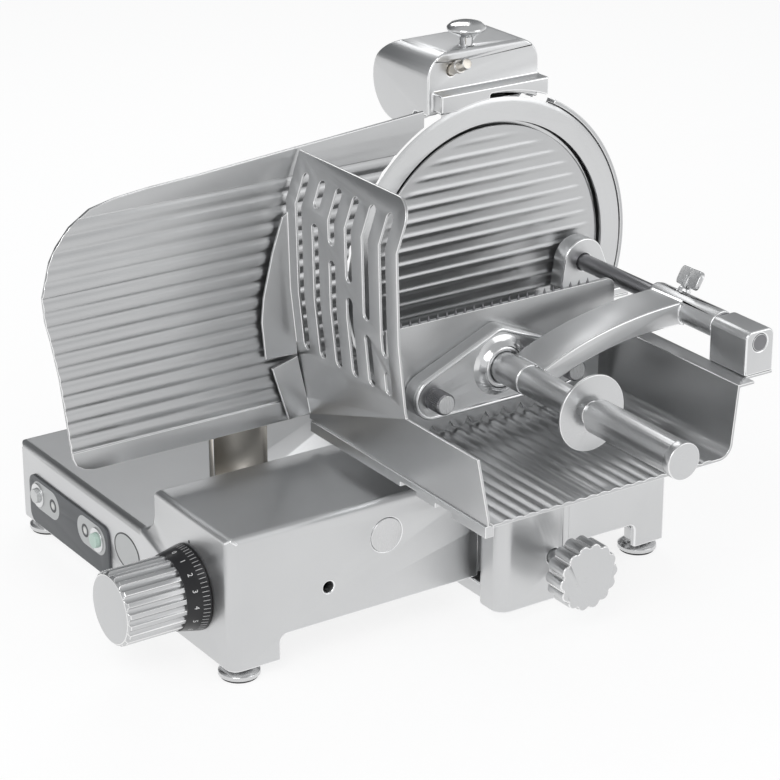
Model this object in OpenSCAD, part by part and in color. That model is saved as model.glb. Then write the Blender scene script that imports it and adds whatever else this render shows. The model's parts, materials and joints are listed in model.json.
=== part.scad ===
// Electric vertical slicer with a sliding tray.
// X runs to the right along the blade, Y to the back and Z up.
// The origin is on the table, under the middle of the front left foot.

/* [Base] */
// Length of the base, left to right
base_w = 542; // [530:1:560]
// Depth of the base, front to back
base_d = 450; // [440:1:480]
// Height of the low deck above the table
deck_z = 102; // [98:1:110]
// Height of the raised block at the front left
ridge_z = 157; // [148:1:158]
// Length of the raised block
ridge_w = 292; // [282:1:294]
// Depth of the raised block
ridge_d = 146; // [130:1:148]
// Wall of the base casting
base_t = 7; // [5:0.5:8]
// Height of the arch in the front wall, above the table
arch_z = 41; // [39:1:48]
// Radius of the rounded edges of the castings
edge_r = 8; // [4:0.5:10]

/* [Feet] */
// Height of a foot
foot_h = 14; // [12:0.5:16]
// Radius of a foot cup
foot_r = 21; // [18:0.5:23]
// Distance from the base's edges to a foot's axis
foot_inset = 20; // [18:1:22]

/* [Control panel] */
// Length of the panel plate
panel_w = 178; // [170:1:178]
// Height of the panel plate
panel_h = 56; // [48:1:60]
// Height of the panel's middle above the table
panel_z = 46; // [44:1:50]
// Radius of a button cap
button_r = 8; // [6:0.5:9]
// Travel of a button
button_travel = 2.5; // [1:0.5:4]

/* [Thickness knob] */
// Height of the knob's axis
index_z = 78; // [77:1:80]
// Distance from the front wall to the knob's axis
index_in = 77; // [76:1:80]
// Radius of the fluted knob
index_knob_r = 38; // [30:1:42]
// Length of the fluted knob
index_knob_l = 82; // [60:1:90]
// Radius of the numbered dial
dial_r = 44; // [40:1:50]
// Flutes round the knob
index_flutes = 20; // [12:1:24]
// Turn of the knob from shut to fully open, degrees
index_turn = 330; // [300:5:340]
// Travel of the gauge plate
gauge_travel = 14; // [8:0.5:14]

/* [Blade] */
// Radius of the blade
blade_r = 175; // [172:0.5:176]
// Height of the blade's axis above the table
blade_z = 312; // [306:1:318]
// Distance from the left face to the blade's axis
blade_in = 414; // [408:1:420]
// Distance from the front wall to the slicing plane
plane_in = 158; // [157:0.5:164]
// Step from the blade's edge in to the ribbed cover
cover_inset = 30; // [28:1:45]

/* [Gauge plate] */
// Length of the gauge plate
plate_w = 436; // [420:1:450]
// Height of the gauge plate
plate_h = 299; // [290:1:310]
// Thickness of the gauge plate
plate_t = 4; // [3:0.5:6]
// Distance between ribs
rib_pitch = 14.8; // [13:0.1:15]
// Ribs on the gauge plate
plate_ribs = 16; // [10:1:17]
// Width of the gauge post
post_w = 64; // [56:1:68]

/* [Carriage] */
// Height of the tray's floor
tray_z = 190; // [188:1:194]
// Length of the tray, front to back
tray_l = 317; // [305:1:325]
// Width of the tray's floor
tray_w = 275; // [270:1:285]
// Sheet of the tray and the slotted guard
sheet_t = 3; // [2:0.5:4]
// Width of the column
column_w = 94; // [90:1:96]
// Travel of the carriage to the left
travel_left = 220; // [100:5:220]
// Travel of the carriage to the right
travel_right = 120; // [45:5:120]
// Travel of the tray towards the front
tray_travel = 70; // [30:5:70]
// Height of the tray's right wall
wall_h = 72; // [65:1:74]

/* [Slotted guard] */
// Height of the slotted guard above the tray's floor
guard_h = 284; // [275:1:290]
// Slots across the guard
guard_slots = 6; // [3:1:6]
// Width of a slot
slot_w = 11; // [7:0.5:12]
// Distance between slots
slot_pitch = 29.5; // [27:0.5:29.5]

/* [Pusher] */
// Radius of the cross rod
rod_r = 9; // [8:0.5:10]
// Height of the cross rod above the tray's floor
rod_h = 105; // [103:1:110]
// Travel of the pusher along the rod
pusher_travel = 90; // [40:5:90]
// Height of the pusher plate
press_h = 121; // [112:1:124]
// Radius of the round hand shield
shield_r = 39; // [30:1:42]
// Length of the handle's grip
grip_l = 138; // [110:1:150]
// Radius of the handle's end cap
grip_r = 18.5; // [16:0.5:20]

/* [Sharpener] */
// Width of the sharpener housing
sharp_w = 139; // [130:1:142]
// Depth of the sharpener housing
sharp_d = 102; // [98:1:110]
// Height of the sharpener housing
sharp_h = 64; // [60:1:68]
// Travel of the pull knob
sharp_travel = 9; // [6:0.5:9]

/* [Hidden] */
$fn = 64;

// Radial clearance of a running fit
fit = 0.05;
// Clearance between faces that must not rub
gap = 0.3;
// How far a cut runs past the face that it opens
over = 2;
// How far a shape runs into the one that it grows from
sink = 2;

// Shapes drawn out along each axis, and round bars

module along_x(x0, x1) {
    translate([x0, 0, 0]) rotate([90, 0, 90]) linear_extrude(x1 - x0) children();
}

module along_y(y0, y1) {
    translate([0, y1, 0]) rotate([90, 0, 0]) linear_extrude(y1 - y0) children();
}

module along_z(z0, z1) {
    translate([0, 0, z0]) linear_extrude(z1 - z0) children();
}

module bar_x(y, z, r, x0, x1) {
    translate([x0, y, z]) rotate([0, 90, 0]) cylinder(h = x1 - x0, r = r);
}

module bar_y(x, z, r, y0, y1) {
    translate([x, y0, z]) rotate([-90, 0, 0]) cylinder(h = y1 - y0, r = r);
}

module bar_z(x, y, r, z0, z1) {
    translate([x, y, z0]) cylinder(h = z1 - z0, r = r);
}

// Box between two opposite corners
module box(a, b) {
    translate(a) cube(b - a);
}

// Flat rectangle between two opposite corners
module patch(a, b) {
    translate(a) square(b - a);
}

// Flat rectangle with round corners, between two opposite corners
module soft_patch(a, b, r) {
    patch([a[0] + r, a[1]], [b[0] - r, b[1]]);
    patch([a[0], a[1] + r], [b[0], b[1] - r]);
    for (x = [a[0] + r, b[0] - r], y = [a[1] + r, b[1] - r]) translate([x, y]) circle(r);
}

// Flat rectangle with only its two upper corners round
module dome_patch(a, b, r) {
    patch([a[0] + r, a[1]], [b[0] - r, b[1]]);
    patch(a, [b[0], b[1] - r]);
    for (x = [a[0] + r, b[0] - r]) translate([x, b[1] - r]) circle(r);
}

// Slot with round ends, upright, between two heights
module slot_patch(x, y0, y1, w) {
    patch([x - w / 2, y0 + w / 2], [x + w / 2, y1 - w / 2]);
    for (y = [y0 + w / 2, y1 - w / 2]) translate([x, y]) circle(w / 2);
}

// Outer tangent of two circles, each [x, y, radius], on the right of the way from a to b
function tangent(a, b) = let(
    d = [b[0] - a[0], b[1] - a[1]],
    t = atan2(d[1], d[0]) - acos((a[2] - b[2]) / norm(d)),
    n = [cos(t), sin(t)]
) [[a[0], a[1]] + a[2] * n, [b[0], b[1]] + b[2] * n];

// Outline pulled tight round circles that are listed counterclockwise
module wrap(rings) {
    for (c = rings) translate([c[0], c[1]]) circle(c[2]);
    polygon([for (i = [0:len(rings) - 1]) each tangent(rings[i], rings[(i + 1) % len(rings)])]);
}

// Points of a curve from a to c, pulled towards b
function bend(a, b, c, steps) = [
    for (i = [0:steps]) let(t = i / steps) (1 - t) * (1 - t) * a + 2 * t * (1 - t) * b + t * t * c
];

// Main planes and axes

left_x = -foot_inset;
right_x = left_x + base_w;
front_y = -foot_inset;
back_y = front_y + base_d;
ridge_x = left_x + ridge_w;
ridge_y = front_y + ridge_d;
deck_low = deck_z - base_t;
index_y = front_y + index_in;
blade_x = left_x + blade_in;
plane_y = front_y + plane_in;
inner_left = left_x + base_t;
inner_right = right_x - base_t;
inner_back = back_y - base_t;

// Step back of the front wall, right of the raised block
recess = 7;
// Wall between the front channel and the rear room
split_t = 6;
index_shaft_r = 6;
carriage_clear = 12;
split_y = index_y + index_shaft_r + carriage_clear;
channel_y = front_y + recess + base_t;

// Base casting

// Round of the raised block at its right end, and of its hollow foot at the back
ridge_drop_r = 66;
ridge_foot_r = 31;
ridge_turn_r = 30;
corner_r = 12;
arch_r = 8;
// Room beside the arm at each end of the carriage's travel
arch_clear = 14;
// Bosses for the feet, for the bottom cover's screws and for the rods
foot_boss_r = 14;
foot_boss_h = 16;
cover_boss_r = 8;
cover_boss_in = 6;
cover_boss_back = 60;
cover_boss_share = [0.06, 0.5, 0.94];
rod_boss_l = 10;
rod_boss_t = 5;
rod_seat = 4;
// Round plug and set screw hole in the front wall
plug_in = 180;
plug_z = 117;
plug_r = 18;
plug_t = 8;
plug_step = 2;
set_in = 112;
set_r = 6;
// Window in the wall for the follower arm
window_clear = 3;

// The rear feet stand a little further in
foot_lift_in = 5;
feet = [
    [0, 0],
    [right_x - foot_inset, recess],
    [0, back_y - foot_inset - foot_lift_in],
    [right_x - foot_inset, back_y - foot_inset - foot_lift_in]
];

cover_spots = [
    for (s = cover_boss_share, y = [split_y + split_t + cover_boss_in, back_y - cover_boss_back])
        [left_x + s * base_w, y]
];

module low_shell() {
    intersection() {
        along_y(front_y, back_y) dome_patch([left_x, foot_h], [right_x, deck_z], edge_r);
        along_x(left_x, right_x) dome_patch([front_y, foot_h], [back_y, deck_z], edge_r);
        along_z(foot_h, deck_z) soft_patch([left_x, front_y], [right_x, back_y], corner_r);
    }
}

module ridge_face() {
    dome_patch([left_x, foot_h], [ridge_x - ridge_drop_r, ridge_z], edge_r);
    patch([ridge_x - ridge_drop_r - edge_r, foot_h], [ridge_x - ridge_drop_r, ridge_z]);
    patch([ridge_x - ridge_drop_r, foot_h], [ridge_x, ridge_z - ridge_drop_r]);
    translate([ridge_x - ridge_drop_r, ridge_z - ridge_drop_r]) circle(ridge_drop_r);
}

module ridge_side() {
    dome_patch([front_y, foot_h], [ridge_y, ridge_z], edge_r);
    difference() {
        patch([ridge_y - edge_r, foot_h], [ridge_y + ridge_foot_r, deck_z + ridge_foot_r]);
        translate([ridge_y + ridge_foot_r, deck_z + ridge_foot_r]) circle(ridge_foot_r);
    }
}

module ridge_plan() {
    difference() {
        soft_patch([left_x, front_y], [ridge_x, ridge_y + ridge_foot_r + corner_r], corner_r);
        translate([ridge_x - ridge_turn_r, ridge_y + ridge_foot_r - ridge_turn_r]) difference() {
            square(ridge_turn_r + corner_r + over);
            circle(ridge_turn_r);
        }
    }
}

module ridge_shell() {
    intersection() {
        along_y(front_y, ridge_y + ridge_foot_r) ridge_face();
        along_x(left_x, ridge_x) ridge_side();
        along_z(foot_h, ridge_z) ridge_plan();
    }
}

module base_hollow() {
    low = foot_h - over;
    box([inner_left, channel_y, low], [inner_right, split_y, deck_low]);
    box([inner_left, split_y + split_t, low], [inner_right, inner_back, deck_low]);
    box([inner_left, channel_y, deck_low - over],
        [ridge_x - ridge_drop_r, ridge_y - base_t, ridge_z - base_t]);
    box([ridge_x, front_y - over, low], [right_x + over, front_y + recess, deck_z + over]);
    along_y(front_y - over, channel_y + over)
        soft_patch([arm_x0 - travel_left - arch_clear, low - 2 * arch_r],
                   [arm_x1 + travel_right + arch_clear, arch_z], arch_r);
}

module base_bosses() {
    for (p = feet) bar_z(p[0], p[1], foot_boss_r, foot_h, foot_h + foot_boss_h);
    for (p = cover_spots) bar_z(p[0], p[1], cover_boss_r, foot_h + cover_t, deck_z - base_t / 2);
    for (x = [[left_x + base_t / 2, inner_left + rod_boss_l],
              [inner_right - rod_boss_l, right_x - base_t / 2]]) {
        bar_x(slide_y, slide_z, slide_r + rod_boss_t, x[0], x[1]);
        bar_x(steady_y, steady_z, steady_r + rod_boss_t, x[0], x[1]);
    }
    bar_x(index_y, index_z, bush_r + rod_boss_t, left_x + base_t / 2, left_x + bush_l);
    for (y = [split_y + split_t / 2, gauge_back])
        box([post_x - post_w / 2, y, gauge_rod_z - gauge_rod_r - rod_boss_t],
            [post_x + post_w / 2, y + gauge_pad_t, deck_z - base_t / 2]);
}

module base_holes() {
    for (p = feet) bar_z(p[0], p[1], stud_r + fit, foot_h - over, foot_h + stud_l + over);
    for (p = cover_spots) bar_z(p[0], p[1], screw_r + fit, foot_h, foot_h + screw_l + over);
    for (x = [[left_x + rod_seat - gap, inner_left + rod_boss_l + over],
              [inner_right - rod_boss_l - over, right_x - rod_seat + gap]]) {
        bar_x(slide_y, slide_z, slide_r + fit, x[0], x[1]);
        bar_x(steady_y, steady_z, steady_r + fit, x[0], x[1]);
    }
    bar_x(index_y, index_z, bush_r + fit, left_x - over, left_x + bush_l + over);
    bar_y(left_x + plug_in, plug_z, plug_r + fit, front_y - over, front_y + plug_t);
    bar_y(left_x + plug_in, plug_z, plug_r - plug_step, front_y, channel_y + over);
    bar_y(left_x + set_in, index_z, set_r, front_y - over, channel_y + over);
    for (y = [start_y, stop_y]) bar_x(y, button_z, barrel_r + gap, left_x - over, inner_left + over);
    bar_y(inlet_x, inlet_z, inlet_r + fit, inner_back - over, back_y + over);
    box([post_x - post_w / 2 - slot_clear, post_y - slot_clear, deck_low - over],
        [post_x + post_w / 2 + slot_clear, post_y + post_t + gauge_travel + slot_clear, deck_z + over]);
    box([follow_x - window_clear, split_y - over, index_z - follow_h / 2 - window_clear],
        [follow_x + follow_w + window_clear, split_y + split_t + over,
         index_z + follow_h / 2 + window_clear]);
    box([cam_x - window_clear, split_y - over, index_z - cam_r - window_clear],
        [cam_x + cam_t + window_clear, split_y + split_t + over, index_z + cam_r + window_clear]);
    for (s = [-1, 1])
        bar_y(post_x + s * gauge_rod_gap, gauge_rod_z, gauge_rod_r + fit,
              split_y + split_t / 2 + rod_seat - gap, gauge_back + gauge_pad_t - rod_seat + gap);
}

module base_casting() {
    color("silver") difference() {
        union() {
            difference() {
                union() {
                    low_shell();
                    ridge_shell();
                }
                base_hollow();
            }
            base_bosses();
        }
        base_holes();
        bar_y(blade_x, blade_z, guard_r + guard_room, plane_y - guard_room, guard_back + guard_room);
    }
}

// Bottom cover and its screws

cover_t = 3;
screw_r = 2;
screw_l = 16;
screw_head_r = 4;
screw_head_h = 2;

module bottom_cover() {
    color("gainsboro") difference() {
        box([inner_left + gap, split_y + split_t + gap, foot_h],
            [inner_right - gap, inner_back - gap, foot_h + cover_t]);
        for (p = feet) bar_z(p[0], p[1], foot_boss_r + gap, foot_h - over, foot_h + cover_t + over);
        for (p = cover_spots) bar_z(p[0], p[1], screw_r + fit, foot_h - over, foot_h + cover_t + over);
    }
}

module cover_screws() {
    color("dimgray") for (p = cover_spots) {
        bar_z(p[0], p[1], screw_head_r, foot_h - screw_head_h, foot_h);
        bar_z(p[0], p[1], screw_r, foot_h - screw_head_h, foot_h + screw_l);
    }
}

// Feet

stud_r = 4;
stud_l = 12;
cup_share = [[0, 1], [0.5, 1], [0.5, 0.8], [0.78, 0.72], [1, 0.5], [1, 0.2], [0.93, 0.2], [0.93, 0.4],
             [0, 0.4]];
pad_share = [0.91, 0.4];

module foot_cups() {
    color("lightgray") for (p = feet) {
        translate([p[0], p[1], 0])
            rotate_extrude() polygon([for (s = cup_share) [s[0] * foot_r, s[1] * foot_h]]);
        bar_z(p[0], p[1], stud_r, foot_h * cup_share[0][1] - sink, foot_h + stud_l);
    }
}

module foot_pads() {
    color("#222222") for (p = feet) bar_z(p[0], p[1], pad_share[0] * foot_r, 0, pad_share[1] * foot_h);
}

// Plug in the front wall

plug_proud = 0.6;

module front_plug() {
    color("gray") bar_y(left_x + plug_in, plug_z, plug_r, front_y - plug_proud, front_y + plug_t);
}

// Control panel on the left face

panel_in = 244;
panel_t = 2.5;
panel_corner_r = 12;
panel_x = left_x - panel_t;
panel_y = front_y + panel_in;
start_in = 23;
stop_in = 21;
button_rise = 8;
button_z = panel_z + button_rise;
start_y = panel_y + start_in;
stop_y = panel_y + panel_w - stop_in;
barrel_r = 11;
bezel_r = 13.5;
bezel_t = 2;
button_proud = 4;
button_l = 20;
barrel_end = 3;
button_rest = 1.5;
bezel_x = panel_x - bezel_t;
button_x = bezel_x - button_proud;
lamp_r = 3;
lamp_t = 2.2;
lamp_seat = 1.4;
lamp_in = 50;
lamp_out = 55;
lamps_y = [panel_y + lamp_in, panel_y + panel_w - lamp_out];

module panel_plate() {
    color("#2b2d30") difference() {
        along_x(panel_x, left_x)
            soft_patch([panel_y, panel_z - panel_h / 2], [panel_y + panel_w, panel_z + panel_h / 2],
                       panel_corner_r);
        for (y = [start_y, stop_y]) bar_x(y, button_z, barrel_r + fit, panel_x - over, left_x + over);
        for (y = lamps_y) bar_x(y, button_z, lamp_r + fit, panel_x - over, panel_x + lamp_seat);
    }
}

module button_bezels() {
    color("lightgray") for (y = [start_y, stop_y]) difference() {
        union() {
            bar_x(y, button_z, bezel_r, bezel_x, panel_x);
            bar_x(y, button_z, barrel_r, bezel_x,
                  button_x + button_l + button_travel + button_rest + barrel_end);
        }
        bar_x(y, button_z, button_r + fit, bezel_x - over, button_x + button_l + button_travel + button_rest);
    }
}

module panel_lamps() {
    color("seagreen")
        for (y = lamps_y) bar_x(y, button_z, lamp_r, panel_x + lamp_seat - lamp_t, panel_x + lamp_seat);
}

module start_button() {
    color("honeydew") bar_x(start_y, button_z, button_r, button_x, button_x + button_l);
}

module stop_button() {
    color("silver") bar_x(stop_y, button_z, button_r, button_x, button_x + button_l);
}

// Inlet bush in the back wall

inlet_in = 80;
inlet_x = left_x + inlet_in;
inlet_z = index_z;
inlet_r = 10;
inlet_flange_r = 14;
inlet_flange_t = 5;
inlet_bore_r = 5;

module inlet_bush() {
    color("#1c1c1c") difference() {
        union() {
            bar_y(inlet_x, inlet_z, inlet_r, inner_back, back_y);
            bar_y(inlet_x, inlet_z, inlet_flange_r, back_y, back_y + inlet_flange_t);
        }
        bar_y(inlet_x, inlet_z, inlet_bore_r, inner_back - over, back_y + inlet_flange_t + over);
    }
}

// Thickness knob, dial, shaft and spiral cam

bush_r = 12;
bush_l = 27;
bush_flange_t = 3;
bush_flange_r = 16;
dial_t = 7;
knob_chamfer = 3;
flute_r = 4;
flute_out = 1.6;
knob_socket = 34;
cam_t = 8;
cam_in = 45;
cam_rim = 2;
cam_x = left_x + cam_in;
groove_d = 5;
groove_steps = 37;
// Turn of the groove past each end of the knob's range, degrees
groove_end = 20;
follow_r = 2.5;
follow_start = 10.5;
// The groove is a little wider than the pin, because its walls lean
groove_w = follow_r + gap;
cam_r = follow_start + gauge_travel + follow_r + cam_rim;
dial_x = left_x - gap - dial_t;
knob_x = dial_x - index_knob_l;

module index_knob() {
    color("silver") difference() {
        translate([knob_x, index_y, index_z]) rotate([0, 90, 0]) rotate_extrude() polygon([
            [0, 0],
            [index_knob_r - knob_chamfer, 0],
            [index_knob_r, knob_chamfer],
            [index_knob_r, index_knob_l - knob_chamfer],
            [index_knob_r - knob_chamfer, index_knob_l],
            [0, index_knob_l]
        ]);
        for (i = [0:index_flutes - 1]) translate([0, index_y, index_z]) rotate([i * 360 / index_flutes, 0, 0])
            bar_x(index_knob_r + flute_out, 0, flute_r, knob_x - over, dial_x + over);
        bar_x(index_y, index_z, index_shaft_r, dial_x - knob_socket, dial_x + over);
    }
}

module index_dial() {
    color("#26282a") difference() {
        bar_x(index_y, index_z, dial_r, dial_x, left_x - gap);
        bar_x(index_y, index_z, index_shaft_r, dial_x - over, left_x + over);
    }
}

// Pin's distance from the knob's axis after a turn of a degrees
function spiral(a) = follow_start + gauge_travel * a / index_turn;

// Flat outline of the groove, from a little before shut to a little past open
module groove_outline() {
    step = (index_turn + 2 * groove_end) / groove_steps;
    polygon([
        for (i = [0:groove_steps]) let(a = i * step - groove_end) (spiral(a) + groove_w) * [cos(a), -sin(a)],
        for (i = [groove_steps:-1:0])
            let(a = i * step - groove_end) (spiral(a) - groove_w) * [cos(a), -sin(a)]
    ]);
}

module index_shaft() {
    color("gray") difference() {
        union() {
            bar_x(index_y, index_z, index_shaft_r, dial_x - knob_socket, cam_x + cam_t);
            bar_x(index_y, index_z, cam_r, cam_x, cam_x + cam_t);
        }
        along_x(cam_x + cam_t - groove_d, cam_x + cam_t + over)
            translate([index_y, index_z]) groove_outline();
    }
}

module index_bush() {
    color("peru") difference() {
        union() {
            bar_x(index_y, index_z, bush_r, left_x, left_x + bush_l);
            bar_x(index_y, index_z, bush_flange_r, left_x + bush_l, left_x + bush_l + bush_flange_t);
        }
        bar_x(index_y, index_z, index_shaft_r + fit, left_x - over, left_x + bush_l + bush_flange_t + over);
    }
}

// Gauge slide under the deck, with the follower arm

post_in = 92;
post_x = left_x + post_in + post_w / 2;
post_back = 27;
post_y = plane_y + post_back;
post_t = 10;
slot_clear = 1.5;
gauge_rod_r = 6;
gauge_rod_gap = 20;
gauge_rod_z = 60;
gauge_pad_t = 10;
gauge_room = 40;
gauge_back = post_y + post_t + gauge_travel + gauge_room;
slider_front = 15;
slider_back = 15;
slider_z = 74;
slider_low = 48;
slider_y0 = post_y - slider_front;
slider_y1 = post_y + post_t + slider_back;
follow_w = 8;
follow_h = 16;
follow_gap = 3;
follow_x = cam_x + cam_t + follow_gap;
follow_y = index_y + follow_start;
follow_nose = 6;
gauge_screw_r = 2.5;
gauge_screw_gap = 7;
gauge_screw_in = 6.5;
gauge_screw_y = slider_y1 - gauge_screw_in;
gauge_screw_l = 14;
gauge_head_r = 4.5;
gauge_head_h = 4;
post_foot_t = 6;

module gauge_rods() {
    color("lightsteelblue") for (s = [-1, 1])
        bar_y(post_x + s * gauge_rod_gap, gauge_rod_z, gauge_rod_r,
              split_y + split_t / 2 + rod_seat, gauge_back + gauge_pad_t - rod_seat);
}

module gauge_slider() {
    color("darkgray") difference() {
        union() {
            box([post_x - post_w / 2, slider_y0, slider_low], [post_x + post_w / 2, slider_y1, slider_z]);
            box([follow_x, slider_y0, index_z - follow_h / 2],
                [post_x - post_w / 2 + sink, slider_y0 + follow_h, slider_z]);
            box([follow_x, follow_y - follow_nose, index_z - follow_h / 2],
                [follow_x + follow_w, slider_y0 + follow_h, index_z + follow_h / 2]);
            bar_x(follow_y, index_z, follow_r, cam_x + cam_t - groove_d + gap, follow_x + sink);
        }
        for (s = [-1, 1]) {
            bar_y(post_x + s * gauge_rod_gap, gauge_rod_z, gauge_rod_r + fit, slider_y0 - over,
                  slider_y1 + over);
            bar_z(post_x + s * gauge_screw_gap, gauge_screw_y, gauge_screw_r + fit,
                  slider_z - gauge_screw_l - over, slider_z + over);
        }
    }
}

// Gauge post with its foot, and the pads that carry the plate

pad_r = 12;
post_pad_share = [0.2, 0.7];
post_share = 0.8;
plate_drop = 2;
plate_z = tray_z - plate_drop;
post_top = plate_z + post_share * plate_h;

module gauge_post() {
    color("lightgray") difference() {
        union() {
            box([post_x - post_w / 2, post_y, slider_z], [post_x + post_w / 2, post_y + post_t, post_top]);
            box([post_x - post_w / 2, post_y, slider_z],
                [post_x + post_w / 2, slider_y1, slider_z + post_foot_t]);
            for (s = post_pad_share)
                bar_y(post_x, plate_z + s * plate_h, pad_r, plane_y + plate_t, post_y + sink);
        }
        for (s = [-1, 1]) bar_z(post_x + s * gauge_screw_gap, gauge_screw_y, gauge_screw_r + fit,
                                slider_z - over, slider_z + post_foot_t + over);
    }
}

module gauge_screws() {
    color("dimgray") for (s = [-1, 1]) {
        bar_z(post_x + s * gauge_screw_gap, gauge_screw_y, gauge_screw_r,
              slider_z - gauge_screw_l, slider_z + post_foot_t);
        bar_z(post_x + s * gauge_screw_gap, gauge_screw_y, gauge_head_r,
              slider_z + post_foot_t, slider_z + post_foot_t + gauge_head_h);
    }
}

// Gauge plate, its right edge cut round the blade

blade_side = 82;
plate_right = blade_x - blade_side;
plate_clear = 3;
rib_h = 1.5;
rib_groove = 2.3;
rib_first = 22;
plate_share = [
    [0.147, 0], [1, 0], [1, 1], [0.713, 0.97], [0.399, 0.933], [0.273, 0.923], [0.186, 0.91], [0.124, 0.89],
    [0.073, 0.843], [0.039, 0.786], [0.021, 0.74], [0, 0.625], [0.004, 0.545], [0.016, 0.468], [0.032, 0.341],
    [0.041, 0.234], [0.055, 0.054], [0.064, 0.025], [0.083, 0.008], [0.105, 0.001]
];

// Radius of a shallow round rib from its width and height
function rib_radius(w, h) = (w * w / 4 + h * h) / (2 * h);

// Side outline of a ribbed plate: y to the back, z up, n ribs from z0
module ribbed_side(y0, y1, low, high, z0, n) {
    w = rib_pitch - rib_groove;
    r = rib_radius(w, rib_h);
    difference() {
        patch([y0, low], [y1, high]);
        patch([y0 - over, z0], [y0 + rib_h, z0 + n * rib_pitch]);
    }
    intersection() {
        patch([y0, low], [y1, high]);
        for (i = [0:n - 1]) translate([y0 + r, z0 + (i + 0.5) * rib_pitch]) circle(r);
    }
}

module gauge_plate() {
    color("silver") difference() {
        intersection() {
            along_y(plane_y, plane_y + plate_t) polygon([
                for (s = plate_share) [plate_right + (s[0] - 1) * plate_w, plate_z + s[1] * plate_h]
            ]);
            along_x(plate_right - plate_w, plate_right)
                ribbed_side(plane_y, plane_y + plate_t, plate_z, plate_z + plate_h, plate_z + rib_first,
                            plate_ribs);
        }
        bar_y(blade_x, blade_z, blade_r + plate_clear, plane_y - over, plane_y + plate_t + over);
    }
}

// Blade, dished behind its polished ring, with its shaft, screws and pulley

ring_w = 25;
blade_t = 4;
dish_d = 8;
dish_r = blade_r - ring_w;
edge_w = 6;
edge_h = 1.5;
hub_r = 13;
flange_r = 30;
flange_t = 6;
shaft_r = 12;
tie_bore_r = 6;
tie_r = 5;
blade_screw_r = 2.5;
blade_screw_at = 21;
blade_screw_l = 5;
blade_head_r = 4.5;
blade_head_h = 2.5;
dish_y = plane_y + dish_d;
flange_y = dish_y + blade_t;
blade_spots = [for (a = [45:90:315]) [blade_x + blade_screw_at * cos(a), blade_z + blade_screw_at * sin(a)]];

module round_blade(points) {
    translate([blade_x, plane_y, blade_z]) rotate([-90, 0, 0]) rotate_extrude($fn = 120) polygon(points);
}

module blade() {
    color("whitesmoke") difference() {
        round_blade([
            [hub_r + fit, dish_d],
            [dish_r - edge_h, dish_d],
            [dish_r, 0],
            [blade_r - edge_w, 0],
            [blade_r, edge_h],
            [blade_r - edge_w, blade_t],
            [dish_r + blade_t, blade_t],
            [dish_r + edge_h, dish_d + blade_t],
            [hub_r + fit, dish_d + blade_t]
        ]);
        for (p = blade_spots) bar_y(p[0], p[1], blade_screw_r + fit, dish_y - over, flange_y + over);
    }
}

module blade_shaft() {
    color("gray") difference() {
        union() {
            bar_y(blade_x, blade_z, hub_r, dish_y, flange_y + sink);
            bar_y(blade_x, blade_z, flange_r, flange_y, flange_y + flange_t);
            bar_y(blade_x, blade_z, shaft_r, flange_y, belt_y + pulley_t);
        }
        bar_y(blade_x, blade_z, tie_bore_r, dish_y - over, belt_y + pulley_t + over);
        for (p = blade_spots)
            bar_y(p[0], p[1], blade_screw_r + fit, flange_y - over, flange_y + blade_screw_l);
    }
}

module blade_screws() {
    color("dimgray") for (p = blade_spots) {
        bar_y(p[0], p[1], blade_head_r, dish_y - blade_head_h, dish_y);
        bar_y(p[0], p[1], blade_screw_r, dish_y - blade_head_h, flange_y + blade_screw_l);
    }
}

module blade_pulley() {
    color("slategray") difference() {
        bar_y(blade_x, blade_z, blade_pulley_r, belt_y, belt_y + pulley_t);
        bar_y(blade_x, blade_z, shaft_r, belt_y - over, belt_y + pulley_t + over);
    }
}

// Ribbed cover in front of the blade, on the rod of its rear knob

cover_back = 1;
cover_face_t = 3.5;
cover_boss_t = 3;
cover_hub_r = 9;
cover_y = plane_y + cover_back;
cover_ribs = 17;
cover_r = blade_r - cover_inset;
tie_end = 2;
tie_knob_r = 22;
tie_knob_t = 24;
tie_lobes = 8;
tie_lobe_r = 6;

module blade_cover() {
    color("silver") difference() {
        union() {
            intersection() {
                bar_y(blade_x, blade_z, cover_r, cover_y, cover_y + cover_face_t);
                along_x(blade_x - cover_r, blade_x + cover_r)
                    ribbed_side(cover_y, cover_y + cover_face_t, blade_z - cover_r, blade_z + cover_r,
                                blade_z - cover_r + rib_first / 2, cover_ribs);
            }
            bar_y(blade_x, blade_z, cover_hub_r, cover_y + cover_face_t,
                  cover_y + cover_face_t + cover_boss_t);
        }
        bar_y(blade_x, blade_z, tie_r + fit, cover_y + tie_end, cover_y + cover_face_t + cover_boss_t + over);
    }
}

module cover_knob() {
    knob_y = motor_front + tower_d + gap;
    color("#3a3c3f") {
        bar_y(blade_x, blade_z, tie_r, cover_y + tie_end + gap, knob_y + sink);
        along_y(knob_y, knob_y + tie_knob_t)
            translate([blade_x, blade_z]) lobed(tie_knob_r, tie_lobe_r, tie_lobes);
    }
}

// Knob outline with round lobes
module lobed(r, lobe, n) {
    circle(r - lobe / 2);
    for (i = [0:n - 1]) rotate(i * 360 / n) translate([r - lobe, 0]) circle(lobe);
}

// Carrier behind the blade, bearings, motor, pulleys and belt

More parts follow.
